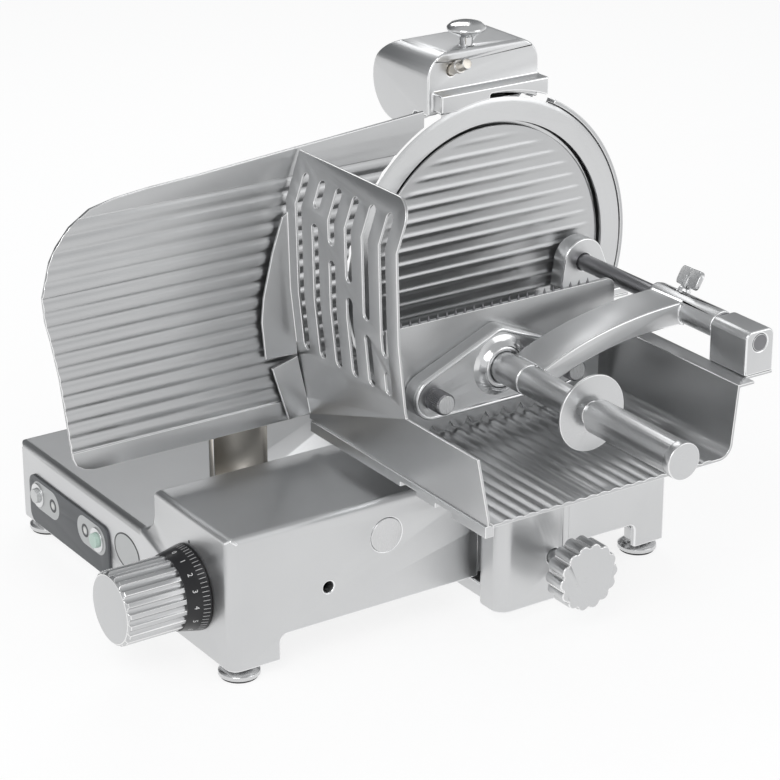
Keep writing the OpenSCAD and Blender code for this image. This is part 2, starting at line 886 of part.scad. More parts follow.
carrier_gap = 8;
carrier_y = flange_y + flange_t + carrier_gap;
carrier_t = 20;
housing_r = 66;
motor_rise = 68;
motor_z = deck_z + motor_rise;
motor_r = 55;
neck_w = 60;
shelf_w = 88;
shelf_t = 8;
shelf_back = 75;
arm_w = 24;
arm_angles = [-62, 0, 52];
guard_clear = 1.5;
guard_room = 3;
guard_wall = 4.5;
guard_r = blade_r + guard_clear + guard_wall;
guard_lip = 17;
guard_in = blade_r - guard_lip;
bolt_in = 8;
bolt_r = blade_r - bolt_in;
bolt_pad_r = 9;
bolt_hole_r = 3;
bolt_head_r = 5;
bolt_head_h = 2;
bearing_r = 20;
bearing_t = 7;
bearing_step = 0.5;
shaft_clear = 2;
motor_front = carrier_y + carrier_t;
belt_gap = 10;
belt_y = motor_front + belt_gap;
pulley_t = 16;
belt_w = 12;
belt_t = 3;
blade_pulley_r = 44;
motor_pulley_r = 22;
motor_shaft_r = 7;
tower_d = 44;
cover_wall = 4;
motor_cover_d = 192;
motor_gap = 8;
motor_shaft_l = 16;
motor_y = belt_y + pulley_t + motor_gap;
motor_l = 150;
motor_foot_w = 80;
motor_foot_h = 24;
guard_d = 15;
guard_back = plane_y + guard_d;
guard_flange_t = 3;
guard_y = guard_back - guard_flange_t;
guard_front = 1;
guard_high = 62;
guard_low = -100;

module blade_carrier() {
    color("darkgray") difference() {
        union() {
            along_y(carrier_y, carrier_y + carrier_t) {
                wrap([[blade_x - housing_r + edge_r, deck_z + edge_r, edge_r],
                      [blade_x + housing_r - edge_r, deck_z + edge_r, edge_r],
                      [blade_x, blade_z, housing_r]]);
                patch([blade_x - housing_r, deck_z], [blade_x + housing_r, blade_z]);
                patch([blade_x - neck_w / 2, blade_z], [blade_x + neck_w / 2, sharp_z]);
                for (a = arm_angles) translate([blade_x, blade_z]) rotate(a) wrap([
                    [0, 0, arm_w], [bolt_r, 0, arm_w / 2]
                ]);
            }
            for (p = guard_spots) bar_y(p[0], p[1], bolt_pad_r, guard_back, carrier_y + sink);
            box([blade_x - shelf_w / 2, carrier_y, sharp_z - shelf_t],
                [blade_x + shelf_w / 2, carrier_y + shelf_back, sharp_z]);
        }
        bar_y(blade_x, blade_z, bearing_r, carrier_y + bearing_step, motor_front + over);
        bar_y(blade_x, blade_z, shaft_r + shaft_clear, carrier_y - over, carrier_y + carrier_t);
        for (p = guard_spots) bar_y(p[0], p[1], bolt_hole_r + fit, guard_back - over, carrier_y + over);
    }
}

guard_spots = [for (a = arm_angles) [blade_x + bolt_r * cos(a), blade_z + bolt_r * sin(a)]];

module blade_bearings() {
    color("lightslategray")
        for (y = [carrier_y + bearing_step, motor_front - bearing_t]) difference() {
            bar_y(blade_x, blade_z, bearing_r, y, y + bearing_t);
            bar_y(blade_x, blade_z, shaft_r + fit, y - over, y + bearing_t + over);
        }
}

module ring_guard() {
    flange = guard_back - plane_y;
    color("lightgray") difference() {
        round_blade([
            [blade_r + guard_clear, guard_front],
            [guard_r, guard_front],
            [guard_r, flange],
            [guard_in, flange],
            [guard_in, flange - guard_flange_t],
            [blade_r + guard_clear, flange - guard_flange_t]
        ]);
        along_y(plane_y - over, guard_back + over) translate([blade_x, blade_z]) polygon([
            [0, 0],
            for (s = [0:0.25:1]) 2 * guard_r * [cos(guard_high + s * (360 + guard_low - guard_high)),
                                              sin(guard_high + s * (360 + guard_low - guard_high))]
        ]);
        for (p = guard_spots) bar_y(p[0], p[1], bolt_hole_r + fit, plane_y - over, guard_back + over);
    }
}

module guard_screws() {
    color("dimgray") for (p = guard_spots) {
        bar_y(p[0], p[1], bolt_hole_r, guard_y, carrier_y);
        bar_y(p[0], p[1], bolt_head_r, guard_y - bolt_head_h, guard_y);
    }
}

module motor_pulley() {
    color("slategray") {
        bar_y(blade_x, motor_z, motor_pulley_r, belt_y, belt_y + pulley_t);
        bar_y(blade_x, motor_z, motor_shaft_r, belt_y, motor_y + motor_shaft_l);
    }
}

module drive_belt() {
    color("#191919") along_y(belt_y + (pulley_t - belt_w) / 2,
                             belt_y + (pulley_t + belt_w) / 2) difference() {
        wrap([[blade_x, motor_z, motor_pulley_r + gap + belt_t],
              [blade_x, blade_z, blade_pulley_r + gap + belt_t]]);
        wrap([[blade_x, motor_z, motor_pulley_r + gap], [blade_x, blade_z, blade_pulley_r + gap]]);
    }
}

module motor() {
    color("#4b4f54") difference() {
        union() {
            bar_y(blade_x, motor_z, motor_r, motor_y, motor_y + motor_l);
            box([blade_x - motor_foot_w / 2, motor_y + motor_foot_h, deck_z],
                [blade_x + motor_foot_w / 2, motor_y + motor_l - motor_foot_h, deck_z + motor_foot_h]);
        }
        bar_y(blade_x, motor_z, motor_shaft_r + fit, motor_y - over, motor_y + motor_shaft_l + over);
    }
}

// Front outline of the motor cover, up to height z, drawn in by d
module motor_outline(z, d) {
    r = housing_r - d;
    patch([blade_x - r, deck_z - d], [blade_x + r, z]);
    translate([blade_x, z]) circle(r);
}

module motor_cover() {
    color("silver") difference() {
        union() {
            along_y(motor_front, motor_front + tower_d) motor_outline(blade_z, 0);
            along_y(motor_front, motor_front + motor_cover_d) motor_outline(motor_z, 0);
        }
        along_y(motor_front - over, motor_front + tower_d - cover_wall) motor_outline(blade_z, cover_wall);
        along_y(motor_front - over, motor_front + motor_cover_d - cover_wall)
            motor_outline(motor_z, cover_wall);
        bar_y(blade_x, blade_z, tie_r + gap, motor_front, motor_front + tower_d + over);
    }
}

// Sharpener on top of the carrier

sharp_sink = 9;
sharp_z = blade_z + blade_r - sharp_sink;
sharp_set = 7;
sharp_y = plane_y + sharp_set;
sharp_off = 73;
sharp_left = blade_x - sharp_off;
sharp_wall = 4;
sharp_r = 26;
sharp_front_r = 4;
sharp_back_r = 42;
sharp_top = sharp_z + sharp_h;
sharp_lip_left = 67;
sharp_lip_right = 68;
sharp_lip_h = 19;
sharp_lip_d = 16;
sharp_lip_up = 5;
lip_clear = 2.5;
lip_step = 8;
lip_step_in = 6;
seat_d = 46;
seat_in = 10;
seat_t = 6;
knob_at = 18;
knob_back = 19;
pull_x = blade_x - knob_at;
pull_y = plane_y + knob_back;
pull_stem_r = 7;
pull_cap_r = 20.5;
pull_cap_h = 8;
pull_top = sharp_top + sharp_travel + 2 * pull_cap_h + gap;
cap_share = [[0, -1], [0.3, -1], [0.55, -0.65], [0.93, -0.15], [1, 0.1], [0.97, 0.35], [0.75, 0.8],
             [0.4, 1], [0, 1]];
head_t = 10;
head_rise = 23;
head_drop = 4;
stone_back = 3;
head_l = 84;
head_d = 12;
head_z = sharp_z + head_rise;
stone_r = 12;
stone_t = 7;
stone_gap = 42;
stone_pin_r = 4;
stone_z = head_z - head_drop;
stone_y = sharp_y + sharp_wall + stone_back;
pin_at = 44;
pin_up = 45;
pin_z = sharp_z + pin_up;
pin_r = 5.5;
pin_lean = 25;
pin_out = 30;
pin_in = 9;
pin_ring = 3;
pin_x = blade_x - pin_at;

// Side outline of the housing: y to the back, z up, drawn in by d
module sharp_side(d) {
    back = sharp_y + sharp_d - sharp_back_r;
    dome_patch([sharp_y + d, sharp_z - d], [back, sharp_top - d], sharp_front_r);
    patch([sharp_y + sharp_back_r, sharp_z - d], [back, sharp_top - d]);
    translate([back, sharp_top - sharp_back_r]) circle(sharp_back_r - d);
}

// Front outline of the housing, drawn in by d
module sharp_face(d) {
    dome_patch([sharp_left + d, sharp_top - 2 * sharp_back_r - over],
               [sharp_left + sharp_w - d, sharp_top - d], sharp_r);
}

// Frame of the pin: z runs out of the housing's front
module pin_frame() {
    translate([pin_x, sharp_y, pin_z]) rotate([90 - pin_lean, 0, 0]) children();
}

module sharpener_body() {
    lip_y = sharp_y - sharp_lip_d;
    color("silver") difference() {
        union() {
            difference() {
                intersection() {
                    along_x(sharp_left, sharp_left + sharp_w) sharp_side(0);
                    along_y(sharp_y, sharp_y + sharp_d) sharp_face(0);
                }
                intersection() {
                    along_x(sharp_left + sharp_wall, sharp_left + sharp_w - sharp_wall)
                        sharp_side(sharp_wall);
                    along_y(sharp_y, sharp_y + sharp_d) sharp_face(sharp_wall);
                }
            }
            box([sharp_left + sharp_wall / 2, sharp_y + sharp_d - seat_d, sharp_z],
                [sharp_left + sharp_w - sharp_wall / 2, sharp_y + sharp_d - seat_in, sharp_z + seat_t]);
            box([blade_x - sharp_lip_left, lip_y, sharp_z + sharp_lip_up],
                [blade_x + sharp_lip_right, sharp_y + sharp_wall, sharp_z + sharp_lip_up + sharp_lip_h]);
        }
        bar_y(blade_x, blade_z, blade_r + lip_clear, lip_y - over, sharp_y + sharp_wall + over);
        intersection() {
            bar_y(blade_x, blade_z, blade_r + lip_step, lip_y - over, sharp_y);
            box([blade_x - lip_step_in, lip_y - over, blade_z],
                [blade_x + sharp_lip_right + over, sharp_y, blade_z + blade_r + lip_step + over]);
        }
        box([blade_x - shelf_w / 2 - gap, carrier_y - gap, sharp_z - sharp_back_r],
            [blade_x + shelf_w / 2 + gap, sharp_y + sharp_d + over, sharp_z]);
        bar_z(pull_x, pull_y, pull_stem_r + fit, sharp_top - sharp_r, sharp_top + over);
        pin_frame() translate([0, 0, -sharp_r]) cylinder(h = sharp_r + pin_out, r = pin_r + fit);
    }
}

module sharpener_knob() {
    color("silver") {
        bar_z(pull_x, pull_y, pull_stem_r, head_z - head_t / 2, pull_top - pull_cap_h);
        translate([pull_x, pull_y, pull_top - pull_cap_h]) rotate_extrude()
            polygon([for (s = cap_share) [s[0] * pull_cap_r, s[1] * pull_cap_h]]);
        box([pull_x - head_l / 2, stone_y + stone_t + gap, head_z - head_t],
            [pull_x + head_l / 2, pull_y + head_d, head_z]);
        for (s = [-1, 1])
            bar_y(pull_x + s * stone_gap / 2, stone_z, stone_pin_r, stone_y, stone_y + stone_t + gap + sink);
    }
}

module stone(s) {
    difference() {
        bar_y(pull_x + s * stone_gap / 2, stone_z, stone_r, stone_y, stone_y + stone_t);
        bar_y(pull_x + s * stone_gap / 2, stone_z, stone_pin_r + fit, stone_y - over,
              stone_y + stone_t + over);
    }
}

module grinding_stone() {
    color("tan") stone(-1);
}

module deburring_stone() {
    color("wheat") stone(1);
}

module sharpener_pin() {
    color("silver") pin_frame() {
        translate([0, 0, -pin_in]) cylinder(h = pin_out + pin_in, r = pin_r);
        translate([0, 0, (pin_out - pin_ring) / 2]) cylinder(h = pin_ring, r = pin_r + pin_ring / 2);
    }
}

// Carriage rods, slider block and the arm with its column

slide_in = 42;
slide_z = 54;
slide_r = 11;
slide_y = front_y + slide_in;
steady_in = 80;
steady_z = 40;
steady_r = 6;
steady_y = front_y + steady_in;
slider_r = 18;
slide_bush_t = 3;
slide_bush_l = 20;
steady_wall = 2;
steady_roof = 4;
steady_d = 10;
arm_low = 19;
arm_t = 17;
arm_step = 8;
column_in = 282;
column_x = left_x + column_in;
column_d = 43;
column_gap = 8;
column_y = front_y - column_gap - column_d;
column_r = 15;
tray_rib_h = 1.5;
tray_slab = tray_z - tray_rib_h;
tray_low = tray_slab - sheet_t;
saddle_gap = 2.5;
column_top = tray_low - saddle_gap;
column_back = column_y + column_d;
arm_x0 = column_x + arm_step;
arm_x1 = column_x + column_w - arm_step;
arm_bolt_r = 3;
arm_bolt_in = 12;
arm_bolt_side = 4.5;
arm_bolt_l = 20;
arm_end = 2;
arm_head_r = 5;
arm_head_h = 5;
arm_spots = [
    for (x = [arm_x0 + arm_bolt_in, arm_x1 - arm_bolt_in], y = [-1, 1])
        [x, slide_y + y * (slider_r - arm_bolt_side)]
];
rail_r = 6;
rail_gap = 20;
rail_drop = 11;
rail_z = column_top - rail_drop;
rails_x = [column_x + column_w / 2 - rail_gap, column_x + column_w / 2 + rail_gap];
lock_in = 350;
lock_x = left_x + lock_in;
lock_z = 68;
lock_r = 36;
lock_lobes = 14;
lock_lobe_r = 7;
lock_t = 26;
lock_neck = 33;
lock_shaft_r = 8;
lock_bore_l = 30;
lock_end = 2;
lock_y = column_y - lock_neck;

module carriage_rods() {
    color("lightsteelblue") {
        bar_x(slide_y, slide_z, slide_r, left_x + rod_seat, right_x - rod_seat);
        bar_x(steady_y, steady_z, steady_r, left_x + rod_seat, right_x - rod_seat);
    }
}

module slider_block() {
    color("darkgray") difference() {
        union() {
            box([arm_x0, slide_y - slider_r, arm_low + arm_t],
                [arm_x1, slide_y + slider_r, slide_z + slider_r]);
            box([arm_x0, slide_y + slider_r - sink, steady_z - steady_r - steady_wall],
                [arm_x1, steady_y + steady_d, steady_z + steady_r + steady_roof]);
        }
        bar_x(slide_y, slide_z, slide_r + slide_bush_t, arm_x0 - over, arm_x1 + over);
        bar_x(steady_y, steady_z, steady_r + fit, arm_x0 - over, arm_x1 + over);
        for (p = arm_spots)
            bar_z(p[0], p[1], arm_bolt_r + fit, arm_low, arm_low + arm_head_h + arm_bolt_l + gap);
    }
}

module slider_bushes() {
    color("peru") for (x = [arm_x0, arm_x1 - slide_bush_l]) difference() {
        bar_x(slide_y, slide_z, slide_r + slide_bush_t, x, x + slide_bush_l);
        bar_x(slide_y, slide_z, slide_r + fit, x - over, x + slide_bush_l + over);
    }
}

module carriage_arm() {
    color("silver") difference() {
        union() {
            intersection() {
                along_z(arm_low, column_top)
                    soft_patch([column_x, column_y], [column_x + column_w, column_back], column_r);
                along_y(column_y, column_back)
                    dome_patch([column_x, arm_low], [column_x + column_w, column_top], edge_r / 2);
            }
            box([arm_x0, column_y + column_r, arm_low],
                [arm_x1, slide_y + slider_r - arm_end, arm_low + arm_t]);
        }
        for (x = rails_x) bar_y(x, rail_z, rail_r + fit, column_y - over, column_back + over);
        bar_y(lock_x, lock_z, lock_shaft_r + fit, column_y - over, column_y + lock_bore_l);
        for (p = arm_spots) {
            bar_z(p[0], p[1], arm_bolt_r + fit, arm_low - over, arm_low + arm_t + over);
            bar_z(p[0], p[1], arm_head_r + fit, arm_low - over, arm_low + arm_head_h);
        }
    }
}

module arm_bolts() {
    color("dimgray") for (p = arm_spots) {
        bar_z(p[0], p[1], arm_head_r, arm_low, arm_low + arm_head_h);
        bar_z(p[0], p[1], arm_bolt_r, arm_low + arm_head_h - sink, arm_low + arm_head_h + arm_bolt_l);
    }
}

module lock_knob() {
    color("silver") {
        along_y(lock_y - lock_t, lock_y) translate([lock_x, lock_z]) lobed(lock_r, lock_lobe_r, lock_lobes);
        bar_y(lock_x, lock_z, lock_shaft_r, lock_y - sink, column_y + lock_bore_l - lock_end);
    }
}

// Tray with its rails and edge strip

tray_in = 191;
tray_x = left_x + tray_in;
tray_clear = 4;
tray_back = plane_y - tray_clear;
tray_front = tray_back - tray_l;
tray_ribs = 18;
tray_rib_in = 8;
tray_rib_w = 12.5;
tray_rib_pitch = (tray_w - 2 * tray_rib_in) / tray_ribs;
tray_bend = 14;
wall_x = tray_x + tray_w + tray_bend;
wall_lean = 6;
wall_top = tray_z + wall_h;
wall_edge_w = 21;
rod_in = 523;
rod_x = left_x + rod_in;
rod_tab = 18;
block_tab_x = rod_x + rod_tab;
bracket_tab = 38;
bracket_tab_x = rod_x + bracket_tab;
rod_z = tray_z + rod_h;
end_in = 13;
end_l = 55;
end_y = tray_front + end_in;
bracket_d = 50;
bracket_y = tray_back - bracket_d;
rail_lug_t = 12;
rail_lug_side = 10;
rail_lug_low = 2;
rail_front = 49;
rail_clear = 8;
rail_back = tray_travel + rail_clear;
strip_w = 10;
strip_h = 12;
strip_in = 5;
strip_step = 60;
strip_notch = 28;
strip_notch_h = 5;

module tray_rails() {
    rail_y0 = column_y - rail_front;
    rail_y1 = column_back + rail_back + rail_lug_t;
    color("lightgray") {
        for (x = rails_x) bar_y(x, rail_z, rail_r, rail_y0 + sink, rail_y1 - sink);
        for (y = [rail_y0, rail_y1 - rail_lug_t])
            box([rails_x[0] - rail_r - rail_lug_side, y, rail_z - rail_r - rail_lug_low],
                [rails_x[1] + rail_r + rail_lug_side, y + rail_lug_t, tray_low]);
        difference() {
            box([tray_x - strip_in, tray_front + strip_in, tray_low - strip_h],
                [tray_x - strip_in + strip_w, tray_back - strip_in, tray_low]);
            for (y = [tray_front + strip_step, tray_front + 2 * strip_step])
                box([tray_x - strip_in - over, y, tray_low - strip_h - over],
                    [tray_x - strip_in + strip_w + over, y + strip_notch,
                     tray_low - strip_h + strip_notch_h]);
        }
    }
}

module tray_profile() {
    bend_x = tray_x + tray_w;
    r = rib_radius(tray_rib_w, tray_rib_h);
    patch([tray_x, tray_low], [bend_x, tray_slab]);
    intersection() {
        patch([tray_x, tray_low], [bend_x, tray_z]);
        for (i = [0:tray_ribs - 1])
            translate([tray_x + tray_rib_in + (i + 0.5) * tray_rib_pitch, tray_z - r]) circle(r);
    }
    difference() {
        translate([bend_x, tray_slab + tray_bend]) intersection() {
            circle(tray_bend + sheet_t);
            translate([0, -tray_bend - sheet_t]) square(tray_bend + sheet_t);
        }
        translate([bend_x, tray_slab + tray_bend]) circle(tray_bend);
    }
    polygon([
        [wall_x, tray_slab + tray_bend],
        [wall_x + sheet_t, tray_slab + tray_bend],
        [wall_x + wall_lean + sheet_t, wall_top],
        [wall_x + wall_lean, wall_top]
    ]);
    patch([wall_x + wall_lean, wall_top - sheet_t], [wall_x + wall_lean + wall_edge_w, wall_top]);
}

module tray() {
    color("silver") {
        along_y(tray_front, tray_back) tray_profile();
        box([wall_x + wall_lean, end_y, wall_top - sheet_t], [block_tab_x, end_y + end_l, wall_top]);
        box([wall_x + wall_lean, bracket_y, wall_top - sheet_t], [bracket_tab_x, tray_back, wall_top]);
    }
}

// Slotted guard, the tray's left wall

guard_lean_share = [[0, 0], [0.52, 0.26], [0.79, 0.507], [0.875, 0.831], [0.285, 1]];
guard_lean = 28;
guard_foot = tray_x - sheet_t;
guard_top = tray_z + guard_h;
guard_front_in = 122;
guard_front_y = tray_front + guard_front_in;
low_wall_h = 67;
low_wall_in = 4;
guard_corner_r = 22;
slot_first = 23;
slot_low = 83;
slot_high = 17;
bridge_top = 51;
bridge_h = 16;
flange_sheet = 3;
ear_share = [[-1.08, 0.77], [-1.5, 0.65], [-1.9, 0.49], [-2, 0.4], [-1.86, 0.257], [-0.54, 0.25],
             [-0.79, 0.79]];
ear_low_share = [[-1.6, 0.215], [-0.54, 0.242], [0, 0.01], [-0.93, 0.004]];

function guard_line(d) = [for (s = guard_lean_share) [guard_foot - s[0] * guard_lean + d,
                                                      tray_z + s[1] * guard_h]];

module guard_profile() {
    polygon(concat(
        [[guard_foot, tray_low]], guard_line(0),
        [for (i = [len(guard_lean_share) - 1:-1:0]) guard_line(sheet_t)[i]], [[tray_x, tray_low]]
    ));
}

module guard_side() {
    low_top = tray_z + low_wall_h;
    patch([tray_front + low_wall_in, tray_low], [tray_back, low_top]);
    patch([guard_front_y, tray_low], [tray_back, guard_top - guard_corner_r]);
    patch([guard_front_y + guard_corner_r, tray_low], [tray_back, guard_top]);
    translate([guard_front_y + guard_corner_r, guard_top - guard_corner_r]) circle(guard_corner_r);
}

module guard_slot(i) {
    y = tray_back - slot_first - i * slot_pitch;
    low = tray_z + slot_low;
    high = guard_top - slot_high;
    middle = guard_top - bridge_top - (i - 1) * slot_pitch;
    if (i == 0) slot_patch(y, low, high, slot_w);
    else {
        slot_patch(y, low, middle - bridge_h / 2, slot_w);
        slot_patch(y, middle + bridge_h / 2, high, slot_w);
    }
}

module slotted_guard() {
    reach = guard_lean + sheet_t;
    color("lightgray") {
        difference() {
            intersection() {
                along_y(tray_front, tray_back) guard_profile();
                along_x(guard_foot - reach, tray_x + reach) guard_side();
            }
            for (i = [0:guard_slots - 1]) along_x(guard_foot - reach, tray_x + reach) guard_slot(i);
        }
        for (s = [ear_share, ear_low_share]) along_y(tray_back - flange_sheet, tray_back)
            polygon([for (p = s) [guard_foot + p[0] * guard_lean, tray_z + p[1] * guard_h]]);
    }
}

// Bracket at the back, block at the front and the rod between them

bracket_r = 26;
bracket_t = 20;
bracket_foot_t = 8;
bracket_left = 30;
end_corner_r = 8;
end_rise = 13;
rod_end = 2;

module rear_bracket() {
    color("silver") difference() {
        union() {
            along_y(tray_back - bracket_t, tray_back) wrap([
                [rod_x - bracket_left + edge_r, wall_top + edge_r, edge_r],
                [bracket_tab_x - edge_r, wall_top + edge_r, edge_r],
                [rod_x, rod_z, bracket_r]
            ]);
            box([rod_x - bracket_left, bracket_y, wall_top],
                [bracket_tab_x, tray_back, wall_top + bracket_foot_t]);
        }
        bar_y(rod_x, rod_z, rod_r + fit, tray_back - bracket_t - over, tray_back + over);
    }
}

module front_block() {
    color("silver") difference() {
        along_y(end_y, end_y + end_l)
            dome_patch([rod_x - rod_tab, wall_top], [rod_x + rod_tab, rod_z + end_rise], end_corner_r);
        bar_y(rod_x, rod_z, rod_r + fit, end_y - over, end_y + end_l + over);
    }
}

module pusher_rod() {
    color("gray") bar_y(rod_x, rod_z, rod_r, end_y, tray_back - rod_end);
}

// Pusher: bush on the rod, arm, tube, shield, handle and plate

bush_wall = 2;
bush_lip = 2;
bush_lip_h = 3;
sleeve_wall = 4;
sleeve_y0 = end_y + end_l + gap;
sleeve_end = 2;
sleeve_y1 = bracket_y - pusher_travel - sleeve_end;
sleeve_r = rod_r + bush_wall + sleeve_wall;
span = 193;
tube_x = rod_x - span;
tube_drop = 37;
tube_z = rod_z - tube_drop;
tube_r = 15;
joint_r = 16;
pusher_arm_in = 34;
pusher_arm_d = 50;
arm_y0 = column_back - pusher_arm_in;
arm_y1 = arm_y0 + pusher_arm_d;
press_back = 118;
press_y = plane_y - press_back;
casting_t = 20;
joint_l = 50;
joint_y = press_y - casting_t - joint_l;
tube_l = 98;
shield_y = joint_y - tube_l;
shield_t = 3;
core_r = 8;
core_l = 30;
core_end = 2;
neck_r = 12;
neck_l = 9;
grip_step = 1;
arm_top_share = [[0.03, 0.3], [0.42, 1.3], [1, 1.3]];
arm_low_share = [[1, 0.62], [0.45, 0.8], [0.03, -0.3]];

function arm_points(s) = [for (p = s) [tube_x + p[0] * span, tube_z + p[1] * tube_drop]];

module pusher_bush() {
    color("peru") difference() {
        union() {
            bar_y(rod_x, rod_z, rod_r + bush_wall, sleeve_y0, sleeve_y1);
            for (y = [sleeve_y0, sleeve_y1 - bush_lip])
                bar_y(rod_x, rod_z, rod_r + bush_wall + bush_lip_h, y, y + bush_lip);
        }
        bar_y(rod_x, rod_z, rod_r + fit, sleeve_y0 - over, sleeve_y1 + over);
    }
}

module pusher_arm() {
    top = arm_points(arm_top_share);
    low = arm_points(arm_low_share);
    color("silver") difference() {
        union() {
            bar_y(rod_x, rod_z, sleeve_r, sleeve_y0 + bush_lip + gap, sleeve_y1 - bush_lip - gap);
            along_y(arm_y0, arm_y1) polygon(concat(
                bend(top[0], top[1], top[2], 12), bend(low[0], low[1], low[2], 12)
            ));
            bar_y(tube_x, tube_z, joint_r, joint_y, press_y - casting_t);
            wing_frame() cylinder(h = wing_seat, r = wing_boss_r);
        }
        bar_y(rod_x, rod_z, rod_r + bush_wall + fit, sleeve_y0, sleeve_y1);
        bar_y(tube_x, tube_z, core_r, joint_y - over, joint_y + core_l);
        bar_y(tube_x, tube_z, tube_r, arm_y0 - over, joint_y);
        wing_frame() cylinder(h = wing_seat + over, r = wing_shank_r + fit);
    }
}

wing_lean = 30;
wing_in = 72;
wing_y = sleeve_y0 + wing_in;
wing_seat = 19;
wing_boss_r = 7;
wing_shank_r = 3;
wing_hub_r = 6;
wing_hub_h = 12;
wing_span = 32;
wing_w = 20;
wing_t = 5;
wing_rise = 5;
wing_turn = 25;

// Frame of the wing screw: z runs out from the rod's axis
module wing_frame() {
    translate([rod_x, wing_y, rod_z]) rotate([0, wing_lean, 0]) rotate([0, 0, 90 - wing_turn]) children();
}

module wing_screw() {
    color("silver") wing_frame() {
        translate([0, 0, rod_r + bush_wall + gap])
            cylinder(h = wing_seat + gap + sink - rod_r - bush_wall, r = wing_shank_r);
        translate([0, 0, wing_seat + gap]) cylinder(h = wing_hub_h, r = wing_hub_r);
        for (s = [-1, 1])
            rotate([90, 0, 0]) translate([s * wing_span / 2, wing_seat + gap + wing_hub_h / 2 + wing_rise, 0])
            linear_extrude(wing_t, center = true)
                soft_patch([-wing_span / 2, -wing_w / 2], [wing_span / 2, wing_w / 2], wing_w / 3);
    }
}

module pusher_tube() {
    color("silver") difference() {
        union() {
            bar_y(tube_x, tube_z, tube_r, shield_y, joint_y);
            bar_y(tube_x, tube_z, core_r, joint_y - sink, joint_y + core_l - core_end);
        }
        bar_y(tube_x, tube_z, core_r, shield_y - over, shield_y + core_l);
    }
}

module pusher_handle() {
    grip_y = shield_y - shield_t;
    color("lightgray") {
        bar_y(tube_x, tube_z, shield_r, grip_y, shield_y);
        bar_y(tube_x, tube_z, neck_r, grip_y - neck_l, grip_y + sink);
        bar_y(tube_x, tube_z, grip_r - grip_step, grip_y - grip_l + neck_l, grip_y - neck_l);
        bar_y(tube_x, tube_z, grip_r, grip_y - grip_l, grip_y - grip_l + neck_l);
        bar_y(tube_x, tube_z, core_r, grip_y, shield_y + core_l - core_end);
    }
}

press_left = 207;
press_right = 33;
press_step_in = 8;
press_gap = 2;
press_step_up = 4;
press_x0 = left_x + press_left;
press_x1 = rod_x - press_right;
press_step_x = wall_x - press_step_in;
press_low = tray_z + press_gap;
press_top = press_low + press_h;
press_t = 5;
press_corner_r = 10;
press_step_z = wall_top + press_step_up;
notch_pitch = 22;
notch_h = 9;
notch_w = 7;
spike_d = 11;
spike_t = 3;
spike_root = 2;
spike_sink = 0.5;
spike_pitch = 11;
spike_share = [0.06, 0.5, 0.96];
pin_gap = 162;
pin_side = 80;
pin_drop = 18;
pins_x = [tube_x - pin_side, tube_x - pin_side + pin_gap];
pins_z = tube_z - pin_drop;
press_pin_r = 8;
press_pin_out = 22;
press_boss_r = 23;
apex_r = 16;
apex_rise = 40;
hub_ring_r = 22;
hub_ring_t = 8;

// Front outline of the flange casting, drawn in by d
module press_flange() {
    y = press_y - casting_t;
    color("silver") difference() {
        union() {
            along_y(y, press_y) wrap([
                [pins_x[0], pins_z, press_boss_r],
                [pins_x[1], pins_z, press_boss_r],
                [tube_x + over, tube_z + apex_rise - apex_r, apex_r]
            ]);
            bar_y(tube_x, tube_z, hub_ring_r, y - hub_ring_t, y + over);
        }
        bar_y(tube_x, tube_z, joint_r + fit, y - hub_ring_t - over, y);
        for (x = pins_x) bar_y(x, pins_z, press_pin_r + fit, y - over, press_y + over);
    }
}

module press_pins() {
    color("#3c3c3e") for (x = pins_x)
        bar_y(x, pins_z, press_pin_r, press_y - casting_t - press_pin_out, press_y + press_t);
}

module press_plate() {
    notches = floor((press_step_x - press_x0) / notch_pitch);
    color("lightgray") {
        difference() {
            along_y(press_y, press_y + press_t) difference() {
                union() {
                    patch([press_x0, press_low], [press_step_x, press_top]);
                    soft_patch([press_x0, press_step_z], [press_x1, press_top], press_corner_r);
                }
                for (i = [0:notches - 1]) translate([press_x0 + (i + 0.5) * notch_pitch, press_low])
                    polygon([[-notch_w, -over], [notch_w, -over], [0, notch_h]]);
            }
            for (x = pins_x) bar_y(x, pins_z, press_pin_r + fit, press_y - over, press_y + press_t + over);
        }
        for (s = spike_share) spike_bar(press_low + notch_h + s * (press_h - notch_h - spike_t));
    }
}

// Level bar of spikes on the back of the pusher plate
module spike_bar(z) {
    x1 = z < press_step_z ? press_step_x : press_x1 - press_corner_r;
    n = floor((x1 - press_x0) / spike_pitch);
    translate([press_x0, press_y + press_t - spike_sink, z]) linear_extrude(spike_t) polygon([
        [0, 0],
        [n * spike_pitch, 0],
        for (i = [n - 1:-1:0]) each [[(i + 0.5) * spike_pitch, spike_d], [i * spike_pitch, spike_root]]
    ]);
}

base_casting();
bottom_cover();
cover_screws();
foot_cups();
foot_pads();
front_plug();
panel_plate();
button_bezels();
panel_lamps();
start_button();
stop_button();
inlet_bush();
motor();
motor_pulley();
motor_cover();
drive_belt();
blade_carrier();
blade_bearings();
blade();
blade_shaft();
blade_pulley();
blade_screws();
blade_cover();
cover_knob();
ring_guard();
guard_screws();
sharpener_body();
sharpener_knob();
sharpener_pin();
grinding_stone();
deburring_stone();
index_knob();
index_dial();
index_shaft();
index_bush();
gauge_rods();
gauge_slider();
gauge_post();
gauge_plate();
gauge_screws();
carriage_rods();
slider_block();
slider_bushes();
carriage_arm();
arm_bolts();
lock_knob();
tray_rails();
tray();
slotted_guard();
rear_bracket();
front_block();
pusher_rod();
pusher_bush();
pusher_arm();
wing_screw();
pusher_tube();
pusher_handle();
press_flange();
press_pins();
press_plate();
